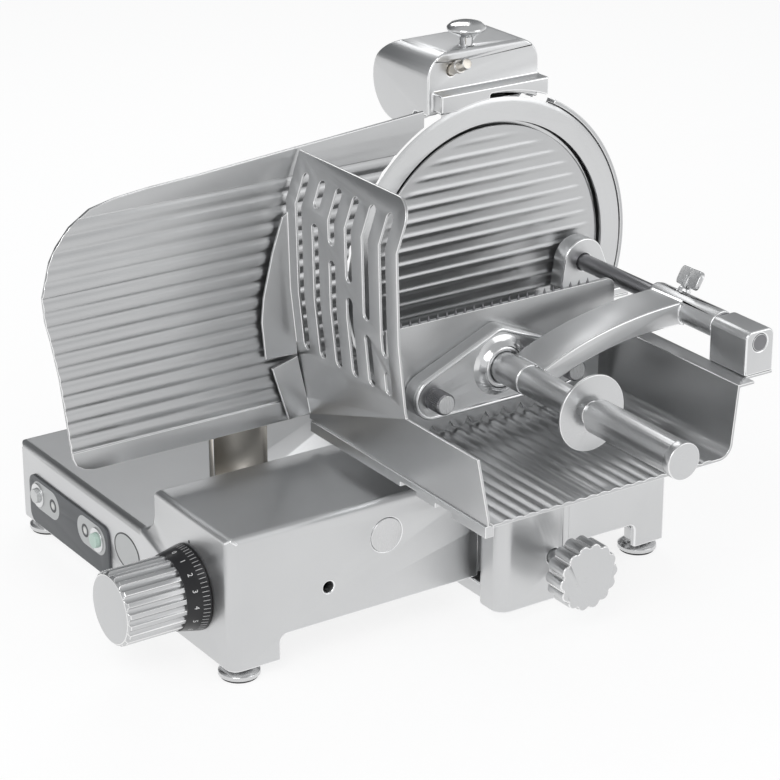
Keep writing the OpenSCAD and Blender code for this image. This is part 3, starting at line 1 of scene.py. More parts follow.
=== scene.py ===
# %% [markdown]
# # A meat slicer with an upright blade
#
# The solids of this machine come from the CAD frame: a cast base, a round
# blade, a ribbed gauge plate that sets the slice, and a carriage that slides
# past the blade with a tray and a pusher arm. This lesson gives them the
# rounded edges, cast and brushed surfaces, dial, panel and light of the real
# machine. Blender works in metres, so sizes in millimetres are multiplied by
# MM, and every piece stays where the CAD has it.

# %% Load the frame
import json
import math

import bmesh
import bpy
from mathutils import Matrix, Vector

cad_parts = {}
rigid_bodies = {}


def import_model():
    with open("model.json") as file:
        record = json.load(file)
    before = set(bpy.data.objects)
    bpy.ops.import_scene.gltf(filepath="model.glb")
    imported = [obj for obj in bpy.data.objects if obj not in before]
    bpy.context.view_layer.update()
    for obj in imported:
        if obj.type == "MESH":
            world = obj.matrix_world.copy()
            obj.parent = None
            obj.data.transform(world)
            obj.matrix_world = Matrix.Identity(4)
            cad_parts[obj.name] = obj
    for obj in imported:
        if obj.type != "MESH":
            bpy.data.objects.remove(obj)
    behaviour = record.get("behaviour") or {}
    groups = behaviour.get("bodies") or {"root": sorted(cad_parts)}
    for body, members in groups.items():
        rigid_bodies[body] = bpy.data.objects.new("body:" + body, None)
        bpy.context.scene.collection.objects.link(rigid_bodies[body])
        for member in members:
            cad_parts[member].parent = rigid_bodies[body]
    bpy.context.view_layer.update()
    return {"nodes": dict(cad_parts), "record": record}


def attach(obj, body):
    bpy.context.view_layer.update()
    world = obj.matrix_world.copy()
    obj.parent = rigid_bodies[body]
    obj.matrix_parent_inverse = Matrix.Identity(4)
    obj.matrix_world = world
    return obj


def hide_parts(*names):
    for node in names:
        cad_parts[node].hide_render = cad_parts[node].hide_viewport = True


MM = 0.001
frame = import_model()
nodes = frame["nodes"]
record = frame["record"]
body_of = {node: body for body, names in record["behaviour"]["bodies"].items() for node in names}

# %% [markdown]
# ## The camera
#
# The picture is taken from the front left, a little above the machine, with a
# long lens from a little under three metres. A long lens keeps upright edges
# nearly parallel, so the camera stands far off instead of close with a wide
# view. Depth of field stays off and there is no shift.

# %% Camera
CAMERA_PLACE = (-1.179, -2.0265, 1.266)
CAMERA_DOWN = 22.4
CAMERA_TURN = -33.8
FOCAL_PIXELS = 2700
IMAGE_PIXELS = 780
SENSOR = 36

camera = bpy.data.objects.new("camera", bpy.data.cameras.new("camera"))
camera.location = CAMERA_PLACE
camera.rotation_euler = (math.radians(90 - CAMERA_DOWN), 0, math.radians(CAMERA_TURN))
camera.data.sensor_width = SENSOR
camera.data.lens = FOCAL_PIXELS / IMAGE_PIXELS * SENSOR
bpy.context.scene.collection.objects.link(camera)
bpy.context.scene.camera = camera
print("lens in millimetres:", round(camera.data.lens, 1))

# %% [markdown]
# ## The room
#
# Bare metal shows the room around it, so the room matters as much as the
# lamps. The world is white at the horizon, greyer overhead, and dark on the
# far side of the machine, which gives every casting a soft change of tone.
# RISE and REAR are the spans of a direction's Z and Y over which the tone
# changes. The camera sees plain white instead, through Is Camera Ray, so the
# background never goes grey.

# %% World
HORIZON = (0.80, 0.805, 0.81, 1)
OVERHEAD = (0.50, 0.505, 0.51, 1)
BEHIND = (0.13, 0.135, 0.14, 1)
WHITE = (1, 1, 1, 1)
RISE = (0.05, 0.75)
REAR = (0.15, 0.95)


def ramp(tree, source, start, end, low=0.0, high=1.0, curve="SMOOTHSTEP"):
    """Goes from low to high while the source goes from start to end."""
    item = tree.nodes.new("ShaderNodeMapRange")
    item.interpolation_type = curve
    for label, value in (("From Min", start), ("From Max", end), ("To Min", low), ("To Max", high)):
        item.inputs[label].default_value = value
    tree.links.new(source, item.inputs["Value"])
    return item.outputs["Result"]


def blended(tree, share, first, second):
    """A mix of two colours by a share; each colour is four numbers or a socket."""
    item = tree.nodes.new("ShaderNodeMix")
    item.data_type = "RGBA"
    tree.links.new(share, item.inputs["Factor"])
    for label, colour in (("A", first), ("B", second)):
        if isinstance(colour, bpy.types.NodeSocket):
            tree.links.new(colour, item.inputs[label])
        else:
            item.inputs[label].default_value = colour
    return item.outputs["Result"]


world = bpy.data.worlds.new("studio")
bpy.context.scene.world = world
world.use_nodes = True
sky = world.node_tree
direction = sky.nodes.new("ShaderNodeTexCoord")
split = sky.nodes.new("ShaderNodeSeparateXYZ")
sky.links.new(direction.outputs["Generated"], split.inputs[0])
room = blended(sky, ramp(sky, split.outputs["Z"], *RISE), HORIZON, OVERHEAD)
room = blended(sky, ramp(sky, split.outputs["Y"], *REAR), room, BEHIND)
path = sky.nodes.new("ShaderNodeLightPath")
seen = blended(sky, path.outputs["Is Camera Ray"], room, WHITE)
sky.links.new(seen, sky.nodes["Background"].inputs["Color"])
print("world tones:", HORIZON[:3], OVERHEAD[:3], BEHIND[:3])

# %% [markdown]
# ## The floor
#
# The machine stands on a white table that fades into the background. The
# floor is a diffuse white that takes the shadow, mixed with an even glow for
# the camera and for mirror images in the metal, so that it is white away from
# the feet and softly grey near them.

# %% Floor
FLOOR_HALF = 12.0
FLOOR_GLOW = 0.75
GLOW_STRENGTH = 1.1
TABLE_TONE = (0.9, 0.9, 0.9, 1)

corners = [(x * FLOOR_HALF, y * FLOOR_HALF, 0) for x, y in ((-1, -1), (1, -1), (1, 1), (-1, 1))]
floor_mesh = bpy.data.meshes.new("floor")
floor_mesh.from_pydata(corners, [], [(0, 1, 2, 3)])
floor = bpy.data.objects.new("floor", floor_mesh)
bpy.context.scene.collection.objects.link(floor)
table_white = bpy.data.materials.new("table_white")
table_white.use_nodes = True
table = table_white.node_tree
table.nodes.remove(table.nodes["Principled BSDF"])
matt = table.nodes.new("ShaderNodeBsdfDiffuse")
matt.inputs["Color"].default_value = TABLE_TONE
glow = table.nodes.new("ShaderNodeEmission")
glow.inputs["Color"].default_value = WHITE
glow.inputs["Strength"].default_value = GLOW_STRENGTH
ray = table.nodes.new("ShaderNodeLightPath")
either = table.nodes.new("ShaderNodeMath")
either.operation = "MAXIMUM"
table.links.new(ray.outputs["Is Camera Ray"], either.inputs[0])
table.links.new(ray.outputs["Is Glossy Ray"], either.inputs[1])
share = table.nodes.new("ShaderNodeMath")
share.operation = "MULTIPLY"
share.inputs[1].default_value = FLOOR_GLOW
table.links.new(either.outputs[0], share.inputs[0])
blend = table.nodes.new("ShaderNodeMixShader")
for source, socket in zip((share, matt, glow), blend.inputs):
    table.links.new(source.outputs[0], socket)
table.links.new(blend.outputs[0], table.nodes["Material Output"].inputs["Surface"])
floor_mesh.materials.append(table_white)
print("floor side in metres:", FLOOR_HALF * 2)

# %% [markdown]
# ## The lamps
#
# Three large soft lamps: the key from the front left and above, a weak fill
# from the right, and one behind that draws bright lines along the top edges.
# Large lamps give the wide, soft highlights that cast aluminium shows.

# %% Lamps
TARGET = Vector((0.22, 0.15, 0.25))


def lamp(name, place, size, watts):
    """A square soft lamp that points at the middle of the machine."""
    data = bpy.data.lights.new(name, "AREA")
    data.size = size
    data.energy = watts
    item = bpy.data.objects.new(name, data)
    item.location = place
    item.rotation_euler = (TARGET - Vector(place)).to_track_quat("-Z", "Y").to_euler()
    bpy.context.scene.collection.objects.link(item)
    return item


lamp("key_lamp", (-1.5, -1.3, 1.9), 1.5, 20)
lamp("fill_lamp", (1.6, -1.6, 1.2), 1.4, 6)
lamp("rim_lamp", (0.9, 1.7, 1.9), 1.2, 9)
print("lamps:", len(bpy.data.lights))

# %% [markdown]
# ## Finishes
#
# Every metal here is one idea with other numbers: two close tones mixed by a
# broad noise for the uneven look of a handled casting, a fine noise that
# varies the roughness, and the same fine noise as a slight bump. Stretching
# the fine noise along one axis turns cast grain into brushing. On the blade
# the grain depends only on the distance from the shaft, so it runs in rings.

# %% The surface helper
RELIEF_HEIGHT = 0.1
PATCH_DETAIL = 3
GRAIN_DETAIL = 4
RING_DETAIL = 3


def noise(tree, source, scale, detail):
    """A noise texture that reads one vector."""
    texture = tree.nodes.new("ShaderNodeTexNoise")
    texture.inputs["Scale"].default_value = scale
    texture.inputs["Detail"].default_value = detail
    tree.links.new(source, texture.inputs["Vector"])
    return texture.outputs[0]


def ring_noise(tree, place, centre, scale):
    """A noise that changes only with the distance from an axis along Y."""
    shift = tree.nodes.new("ShaderNodeMapping")
    shift.inputs["Location"].default_value = (-centre[0], 0, -centre[1])
    shift.inputs["Scale"].default_value = (1, 0, 1)
    tree.links.new(place, shift.inputs["Vector"])
    reach = tree.nodes.new("ShaderNodeVectorMath")
    reach.operation = "LENGTH"
    tree.links.new(shift.outputs[0], reach.inputs[0])
    rings = tree.nodes.new("ShaderNodeTexNoise")
    rings.noise_dimensions = "1D"
    rings.inputs["Scale"].default_value = scale
    rings.inputs["Detail"].default_value = RING_DETAIL
    tree.links.new(reach.outputs["Value"], rings.inputs["W"])
    return rings.outputs[0]


def finish(name, light, dark, metallic, rough, patch=9, grain=1400, bump=0.12,
           stretch=(1, 1, 1), spread=0.07, centre=None):
    """A surface with uneven tone, uneven gloss and fine relief; a centre makes the grain run in rings."""
    material = bpy.data.materials.new(name)
    material.use_nodes = True
    tree = material.node_tree
    shader = tree.nodes["Principled BSDF"]
    shader.inputs["Metallic"].default_value = metallic
    place = tree.nodes.new("ShaderNodeTexCoord").outputs["Object"]
    if centre:
        fine = ring_noise(tree, place, centre, grain)
    else:
        run = tree.nodes.new("ShaderNodeMapping")
        run.inputs["Scale"].default_value = stretch
        tree.links.new(place, run.inputs["Vector"])
        fine = noise(tree, run.outputs[0], grain, GRAIN_DETAIL)
    tones = blended(tree, noise(tree, place, patch, PATCH_DETAIL), (*dark, 1), (*light, 1))
    tree.links.new(tones, shader.inputs["Base Color"])
    gloss = ramp(tree, fine, 0.0, 1.0, rough - spread, rough + spread, "LINEAR")
    tree.links.new(gloss, shader.inputs["Roughness"])
    relief = tree.nodes.new("ShaderNodeBump")
    relief.inputs["Strength"].default_value = bump
    relief.inputs["Distance"].default_value = RELIEF_HEIGHT * MM
    tree.links.new(fine, relief.inputs["Height"])
    tree.links.new(relief.outputs["Normal"], shader.inputs["Normal"])
    return material


# %% The finishes of this machine
BLADE_CENTRE = (0.394, 0.312)
BRUSH_X = (0.03, 1, 1)
BRUSH_Y = (1, 0.03, 1)
BRUSH_Z = (1, 1, 0.03)

cast = finish("cast_satin", (0.70, 0.705, 0.71), (0.61, 0.615, 0.62), 1, 0.36)
# The edge finishes are lighter than their faces: painted highlights on the rounded edges of castings.
cast_edge_highlight = finish("cast_edge_highlight", (0.93, 0.935, 0.94), (0.88, 0.885, 0.89), 1, 0.2, bump=0.05)
plate = finish("brushed_plate", (0.58, 0.585, 0.59), (0.49, 0.495, 0.50), 1, 0.34, bump=0.16, stretch=BRUSH_X)
# Painted highlight for the rounded edges of plates and sheets.
plate_edge_highlight = finish("plate_edge_highlight", (0.92, 0.92, 0.92), (0.86, 0.86, 0.86), 1, 0.2, bump=0.05)
sheet = finish("tray_sheet", (0.62, 0.625, 0.63), (0.52, 0.525, 0.53), 1, 0.33, bump=0.14, stretch=BRUSH_Y)
blade_steel = finish("blade_steel", (0.68, 0.685, 0.69), (0.60, 0.605, 0.61), 1, 0.24, grain=2600, bump=0.1,
                     centre=BLADE_CENTRE)
# Painted highlight for the blade's rounded edges.
blade_edge_highlight = finish("blade_edge_highlight", (0.93, 0.93, 0.93), (0.88, 0.88, 0.88), 1, 0.13, bump=0.03)
steel = finish("satin_steel", (0.72, 0.72, 0.725), (0.60, 0.605, 0.61), 1, 0.28, stretch=BRUSH_Z)
warm_steel = finish("warm_steel", (0.70, 0.66, 0.60), (0.58, 0.55, 0.50), 1, 0.24, stretch=BRUSH_Z)
chrome = finish("chrome", (0.76, 0.765, 0.77), (0.69, 0.695, 0.70), 1, 0.15, bump=0.02, spread=0.03)
dark_steel = finish("dark_steel", (0.30, 0.30, 0.31), (0.2, 0.2, 0.21), 1, 0.32, stretch=BRUSH_Y)
turned = finish("turned_grip", (0.66, 0.665, 0.67), (0.57, 0.575, 0.58), 1, 0.3, bump=0.1, stretch=BRUSH_X)
panel_grey = finish("panel_grey", (0.125, 0.132, 0.14), (0.1, 0.106, 0.113), 0, 0.45, grain=1800)
print_grey = finish("print_grey", (0.62, 0.63, 0.63), (0.57, 0.58, 0.58), 0.2, 0.4, grain=1800)
print_dark = finish("print_dark", (0.07, 0.073, 0.077), (0.05, 0.053, 0.057), 0, 0.42, grain=1800)
print_white = finish("print_white", (0.86, 0.86, 0.86), (0.78, 0.78, 0.78), 0, 0.45, grain=1800)
dial_black = finish("dial_black", (0.014, 0.014, 0.016), (0.008, 0.008, 0.01), 0, 0.3, grain=1800, bump=0.03)
rubber = finish("rubber", (0.06, 0.06, 0.06), (0.035, 0.035, 0.035), 0, 0.75, grain=900, bump=0.3)
green_cap = finish("green_cap", (0.66, 0.82, 0.74), (0.56, 0.74, 0.65), 0, 0.3, grain=900)
grey_cap = finish("grey_cap", (0.72, 0.73, 0.73), (0.64, 0.65, 0.65), 0.4, 0.3, grain=900)
lamp_white = finish("lamp_white", (0.9, 0.9, 0.88), (0.84, 0.84, 0.82), 0, 0.25, grain=900)
bronze = finish("bronze", (0.62, 0.45, 0.26), (0.5, 0.35, 0.2), 1, 0.34)
motor_paint = finish("motor_paint", (0.055, 0.058, 0.064), (0.035, 0.037, 0.042), 0, 0.42, grain=700,
                     bump=0.3)
stone = finish("grinding_stone", (0.62, 0.58, 0.52), (0.46, 0.43, 0.38), 0, 0.9, grain=2200, bump=0.7)
print("finishes:", len(bpy.data.materials))

# %% [markdown]
# ## Rounded edges on the castings
#
# A CAD solid has knife edges, and a real casting never does: each edge is a
# narrow rounded band that catches the light. A copy of the solid is merged,
# its flat faces are joined up, and a Bevel modifier rounds the edges. The
# bevel puts its new faces in the second material, which is lighter than the
# face: a painted highlight along the edges. In one corner of the
# base the walls meet so closely that a bevel would fold over itself, so the
# edges inside a spare box stay sharp.

# %% The helpers that dress a node
MERGE = 2e-6
FLAT_ANGLE = 0.6
EDGE_ANGLE = 30
EDGE_SEGMENTS = 3


def dress(piece, *names, body=None, slot=None):
    """The piece rides with the first node's body and stands for the nodes, unless it is given a body."""
    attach(piece, body or body_of[names[0]])
    if not body:
        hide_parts(*names)
    return piece


def add_mesh(name, mesh, *materials):
    """A new object at the origin with its materials."""
    piece = bpy.data.objects.new(name, mesh)
    for material in materials:
        mesh.materials.append(material)
    bpy.context.scene.collection.objects.link(piece)
    return piece


def in_box(point, box):
    """Whether a point lies in a box of (low, high) pairs in millimetres."""
    return all(low * MM <= value <= high * MM for value, (low, high) in zip(point, box))


def softened(node, width, face, edge, spare=None):
    """A copy of a node with rounded edges, in place of the node; edges inside the spare box stay sharp."""
    mesh = nodes[node].data.copy()
    mesh.materials.clear()
    shape = bmesh.new()
    shape.from_mesh(mesh)
    bmesh.ops.remove_doubles(shape, verts=shape.verts, dist=MERGE)
    bmesh.ops.dissolve_limit(shape, angle_limit=math.radians(FLAT_ANGLE), verts=shape.verts,
                             edges=shape.edges, use_dissolve_boundaries=False)
    if spare:
        weight = shape.edges.layers.float.new("bevel_weight_edge")
        for line in shape.edges:
            corner = len(line.link_faces) == 2 and line.calc_face_angle() > math.radians(EDGE_ANGLE)
            if corner and not any(in_box(end.co, spare) for end in line.verts):
                line[weight] = 1.0
    for part in shape.faces:
        part.smooth = True
        part.material_index = 0
    shape.to_mesh(mesh)
    shape.free()
    piece = add_mesh(node + "_skin", mesh, face, edge)
    bevel = piece.modifiers.new("edges", "BEVEL")
    bevel.width = width * MM
    bevel.segments = EDGE_SEGMENTS
    bevel.limit_method = "WEIGHT" if spare else "ANGLE"
    bevel.angle_limit = math.radians(EDGE_ANGLE)
    bevel.use_clamp_overlap = False
    bevel.harden_normals = True
    bevel.miter_outer = "MITER_ARC"
    # The bevel faces take the lighter second material, a painted highlight.
    bevel.material = 1
    return dress(piece, node)


# %% Dress the nodes whose shape is right
# Rows: node, bevel width in millimetres, face finish, edge finish; the lighter edge finishes are painted
# highlights.
SKINS = [
    ("base_casting", 1.5, cast, cast_edge_highlight), ("carriage_arm", 2.0, cast, cast_edge_highlight),
    ("pusher_arm", 1.8, cast, cast_edge_highlight), ("press_flange", 2.6, cast, cast_edge_highlight),
    ("sharpener_body", 1.8, cast, cast_edge_highlight), ("motor_cover", 1.8, cast, cast_edge_highlight),
    ("blade_carrier", 0.8, cast, cast_edge_highlight), ("rear_bracket", 1.5, cast, cast_edge_highlight),
    ("front_block", 1.8, cast, cast_edge_highlight), ("tray_rails", 0.6, cast, cast_edge_highlight),
    ("gauge_plate", 0.6, plate, plate_edge_highlight), ("gauge_post", 0.6, warm_steel, steel),
    ("tray", 0.6, sheet, plate_edge_highlight), ("slotted_guard", 0.6, sheet, plate_edge_highlight),
    ("press_plate", 0.4, plate, plate_edge_highlight), ("bottom_cover", 0.4, plate, plate_edge_highlight),
    ("ring_guard", 0.8, plate, plate_edge_highlight), ("blade", 0.15, blade_steel, blade_edge_highlight),
    ("index_knob", 0.5, turned, plate_edge_highlight), ("lock_knob", 1.2, turned, plate_edge_highlight),
    ("pusher_handle", 0.8, turned, plate_edge_highlight), ("pusher_rod", 0.6, dark_steel, steel),
    ("pusher_tube", 0.3, turned, steel), ("pusher_bush", 0.3, dark_steel, steel),
    ("foot_cups", 0.5, steel, chrome), ("foot_pads", 0.8, rubber, rubber),
    ("front_plug", 0.6, steel, chrome), ("inlet_bush", 0.6, rubber, rubber),
    ("panel_plate", 0.3, panel_grey, panel_grey), ("button_bezels", 0.5, chrome, chrome),
    ("start_button", 0.6, green_cap, green_cap), ("stop_button", 0.6, grey_cap, grey_cap),
    ("panel_lamps", 0.3, lamp_white, lamp_white), ("cover_knob", 0.8, dial_black, rubber),
    ("sharpener_knob", 0.6, chrome, chrome), ("sharpener_pin", 0.5, warm_steel, chrome),
    ("wing_screw", 0.8, steel, chrome),
    ("cover_screws", 0.2, steel, chrome), ("guard_screws", 0.2, steel, chrome),
    ("gauge_screws", 0.2, steel, chrome), ("blade_screws", 0.2, steel, chrome),
    ("arm_bolts", 0.3, steel, chrome), ("gauge_slider", 0.6, cast, cast_edge_highlight),
    ("slider_block", 0.6, cast, cast_edge_highlight),
]
CROWDED_CORNER = ((-21, 0), (120, 165), (88, 112))
for node, width, face, edge in SKINS:
    softened(node, width, face, edge, spare=CROWDED_CORNER if node == "base_casting" else None)
print("skinned nodes:", len(SKINS))

# %% [markdown]
# ## The pieces inside
#
# The motor, belt, bearings and rods sit inside the castings. Their solids are
# already the right shape, so they stay as they are and only get a finish.

# %% Finishes for the inner nodes
INNER = {
    "motor": motor_paint, "drive_belt": rubber, "blade_bearings": chrome, "blade_shaft": steel,
    "blade_pulley": steel, "motor_pulley": steel, "gauge_rods": chrome, "carriage_rods": chrome,
    "slider_bushes": bronze, "index_bush": bronze, "index_shaft": steel, "grinding_stone": stone,
    "deburring_stone": stone,
}
for node, material in INNER.items():
    nodes[node].data.materials.clear()
    nodes[node].data.materials.append(material)
print("inner nodes:", len(INNER))

# %% [markdown]
# ## The blade cover
#
# The round cover over the blade's middle is a disc with shallow level ribs
# that die away before its rim. That is a rule, so Geometry Nodes make it: a
# square grid is pulled to a disc, row by row, and each point is lifted by a
# sharpened cosine of its height, times a fade near the rim. A small helper
# keeps the arithmetic short. The disc then gets a rim and a back, so that it
# is a closed body.

# %% A helper for node trees
class Rule:
    """A Geometry Nodes tree with named inputs and short calls for its nodes."""

    def __init__(self, name, **sizes):
        self.tree = bpy.data.node_groups.new(name, "GeometryNodeTree")
        self.ids = {}
        for label, value in sizes.items():
            kind = "NodeSocketInt" if isinstance(value, int) else "NodeSocketFloat"
            if isinstance(value, bpy.types.Material):
                kind = "NodeSocketMaterial"
            socket = self.tree.interface.new_socket(label, in_out="INPUT", socket_type=kind)
            self.ids[label] = (socket.identifier, value)
        self.tree.interface.new_socket("Geometry", in_out="OUTPUT", socket_type="NodeSocketGeometry")
        self.given = self.tree.nodes.new("NodeGroupInput")
        self.out = self.tree.nodes.new("NodeGroupOutput")

    def size(self, label):
        """The socket of a named input."""
        return self.given.outputs[label]

    def plug(self, value, socket):
        """Links a socket, or sets a plain value."""
        if isinstance(value, bpy.types.NodeSocket):
            self.tree.links.new(value, socket)
        else:
            socket.default_value = value

    def node(self, kind, settings=None, **inputs):
        """A new node with its inputs; an underscore in a label stands for a space."""
        item = self.tree.nodes.new(kind)
        for key, value in (settings or {}).items():
            setattr(item, key, value)
        for key, value in inputs.items():
            self.plug(value, item.inputs[key.replace("_", " ")])
        return item

    def math(self, operation, *values):
        """The result of one arithmetic step."""
        item = self.tree.nodes.new("ShaderNodeMath")
        item.operation = operation
        for index, value in enumerate(values):
            self.plug(value, item.inputs[index])
        return item.outputs[0]

    def vector(self, x=0.0, y=0.0, z=0.0):
        """Three values as one vector."""
        item = self.tree.nodes.new("ShaderNodeCombineXYZ")
        for index, value in enumerate((x, y, z)):
            self.plug(value, item.inputs[index])
        return item.outputs[0]

    def build(self, geometry, material):
        """Ends the tree, runs it once and gives a plain mesh."""
        real = self.node("GeometryNodeRealizeInstances", Geometry=geometry)
        painted = self.node("GeometryNodeSetMaterial", Geometry=real.outputs[0], Material=self.size(material))
        self.tree.links.new(painted.outputs[0], self.out.inputs[0])
        holder = bpy.data.objects.new("holder", bpy.data.meshes.new("holder"))
        bpy.context.scene.collection.objects.link(holder)
        modifier = holder.modifiers.new("rule", "NODES")
        modifier.node_group = self.tree
        for identifier, value in self.ids.values():
            modifier[identifier] = value
        evaluated = holder.evaluated_get(bpy.context.evaluated_depsgraph_get())
        mesh = bpy.data.meshes.new_from_object(evaluated)
        holder.modifiers.clear()
        bpy.data.objects.remove(holder)
        return mesh


# %% The ribbed disc
COVER_RADIUS = 0.1445
COVER_FRONT = 0.139
COVER_THICK = 0.0035
RIB_DEPTH = 0.0011
RIB_PITCH = 0.0148
RIB_START = -0.134
RIB_SHARPNESS = 3.0
FADE_WIDTH = 0.012
FLAT_SHARE = 0.35
TOP_SHARE = 0.9998
BACK_ROOM = 0.0002
SHEET_MERGE = 1e-5

cover_rule = Rule("cover_rule", Radius=COVER_RADIUS, Rows=351, Columns=81, Pitch=RIB_PITCH, Start=RIB_START,
                  Depth=RIB_DEPTH, Fade=FADE_WIDTH, Finish=plate)
calc = cover_rule.math
size = cover_rule.size
grid = cover_rule.node("GeometryNodeMeshGrid", Size_X=2.0, Size_Y=2.0, Vertices_X=size("Columns"),
                       Vertices_Y=size("Rows"))
spot = cover_rule.node("GeometryNodeInputPosition")
parts = cover_rule.node("ShaderNodeSeparateXYZ", Vector=spot.outputs[0])
radius = size("Radius")
level = calc("MULTIPLY", calc("MULTIPLY", parts.outputs["Y"], radius), TOP_SHARE)
level_square = calc("MULTIPLY", level, level)
chord = calc("SQRT", calc("SUBTRACT", calc("MULTIPLY", radius, radius), level_square))
across = calc("MULTIPLY", parts.outputs["X"], chord)
reach = calc("SQRT", calc("ADD", calc("MULTIPLY", across, across), level_square))
fade = calc("DIVIDE", calc("SUBTRACT", radius, reach), size("Fade"))
fade = calc("MINIMUM", calc("MAXIMUM", calc("SUBTRACT", fade, FLAT_SHARE), 0.0), 1.0)
turn = calc("DIVIDE", calc("SUBTRACT", level, size("Start")), size("Pitch"))
wave = calc("COSINE", calc("MULTIPLY", turn, 2 * math.pi))
wave = calc("POWER", calc("MULTIPLY", calc("ADD", wave, 1.0), 0.5), RIB_SHARPNESS)
lift = calc("MULTIPLY", calc("MULTIPLY", wave, fade), size("Depth"))
front = calc("SUBTRACT", COVER_FRONT + RIB_DEPTH, lift)
place = cover_rule.vector(calc("ADD", across, BLADE_CENTRE[0]), front, calc("ADD", level, BLADE_CENTRE[1]))
moved = cover_rule.node("GeometryNodeSetPosition", Geometry=grid.outputs["Mesh"], Position=place)
cover_mesh = cover_rule.build(moved.outputs[0], "Finish")


def closed_sheet(mesh, depth):
    """Gives an open sheet a back face and a rim, with all faces outwards."""
    shape = bmesh.new()
    shape.from_mesh(mesh)
    bmesh.ops.remove_doubles(shape, verts=shape.verts, dist=SHEET_MERGE)
    rim = [edge for edge in shape.edges if len(edge.link_faces) == 1]
    made = bmesh.ops.extrude_edge_only(shape, edges=rim)["geom"]
    for vert in [item for item in made if isinstance(item, bmesh.types.BMVert)]:
        vert.co.y += depth
    open_edges = [edge for edge in shape.edges if len(edge.link_faces) == 1]
    bmesh.ops.holes_fill(shape, edges=open_edges)
    bmesh.ops.recalc_face_normals(shape, faces=shape.faces)
    # Only the ribbed front and the rim are shaded smooth; the back is one flat face.
    for part in shape.faces:
        part.smooth = len(part.verts) < 5
    shape.to_mesh(mesh)
    shape.free()
    return mesh


cover = add_mesh("blade_cover_disc", closed_sheet(cover_mesh, COVER_THICK - RIB_DEPTH - BACK_ROOM))
dress(cover, "blade_cover")
print("cover faces:", len(cover.data.polygons))

# %% [markdown]
# ## The dial
#
# Round the slice-thickness knob lies a black cone with white ticks and plain
# numbers. The cone is turned on a lathe in code, the ticks are one small bar
# repeated by Geometry Nodes, and the numbers are text made into a mesh and
# laid on the cone.

# %% A lathe along X or Y
LATHE_EDGE = 0.25
LATHE_SEGMENTS = 2


def lathe(name, axis, centre, profile, material, steps=96, flutes=0, dip=0.0):
    """Turns (radius, place along the axis) points round an axis; flutes cut the outside by dip."""
    shape = bmesh.new()
    rings = []
    for radius, along in profile:
        ring = []
        for index in range(steps if radius > 0 else 1):
            angle = 2 * math.pi * index / steps
            reach = radius - dip * (0.5 - 0.5 * math.cos(flutes * angle)) * (radius > 0)
            first = centre[0] + reach * math.cos(angle)
            second = centre[1] + reach * math.sin(angle)
            point = (along, first, second) if axis == "X" else (first, along, second)
            ring.append(shape.verts.new([value * MM for value in point]))
        rings.append(ring)
    for first, second in zip(rings, rings[1:]):
        for index in range(steps):
            corners = [first[index % len(first)], first[(index + 1) % len(first)],
                       second[(index + 1) % len(second)], second[index % len(second)]]
            shape.faces.new(list(dict.fromkeys(corners)))
    bmesh.ops.recalc_face_normals(shape, faces=shape.faces)
    for part in shape.faces:
        part.smooth = True
    mesh = bpy.data.meshes.new(name)
    shape.to_mesh(mesh)
    shape.free()
    piece = add_mesh(name, mesh, material)
    bevel = piece.modifiers.new("edges", "BEVEL")
    bevel.width = LATHE_EDGE * MM
    bevel.segments = LATHE_SEGMENTS
    bevel.limit_method = "ANGLE"
    bevel.angle_limit = math.radians(EDGE_ANGLE)
    bevel.harden_normals = True
    return piece


# %% The cone
INDEX_AXIS = (57, 78)
DIAL_IN, DIAL_OUT = 38.9, 44.0
DIAL_FRONT, DIAL_BACK = -45.0, -20.5
CONE_BACK = DIAL_BACK - 1.2
CONE = [(0, DIAL_BACK), (DIAL_OUT, DIAL_BACK), (DIAL_OUT, CONE_BACK), (DIAL_IN, DIAL_FRONT), (0, DIAL_FRONT)]

dial = lathe("dial_cone", "X", INDEX_AXIS, CONE, dial_black)
dress(dial, "index_dial")
slope = math.atan2(DIAL_OUT - DIAL_IN, CONE_BACK - DIAL_FRONT)
print("cone slope in degrees:", round(math.degrees(slope), 1))


# %% Ticks round the cone
TICK_SHARE = 0.82
TICK_RAISE = 0.02
PRINT_RAISE = 0.05


def cone_spot(share):
    """The radius and the place along X at a share of the cone's width."""
    return DIAL_IN + (DIAL_OUT - DIAL_IN) * share, DIAL_FRONT + (CONE_BACK - DIAL_FRONT) * share


def on_cone(share, angle):
    """The frame on the cone at a share of its width and an angle from the top, with its z outwards."""
    radius, along = cone_spot(share)
    out = Vector((0, -math.sin(angle), math.cos(angle)))
    ahead = Vector((1, 0, 0))
    run = (out * math.sin(slope) + ahead * math.cos(slope)).normalized()
    normal = (out * math.cos(slope) - ahead * math.sin(slope)).normalized()
    place = (Vector((along, *INDEX_AXIS)) + out * radius + normal * PRINT_RAISE) * MM
    return Matrix.Translation(place) @ Matrix((run.cross(normal), run, normal)).transposed().to_4x4()


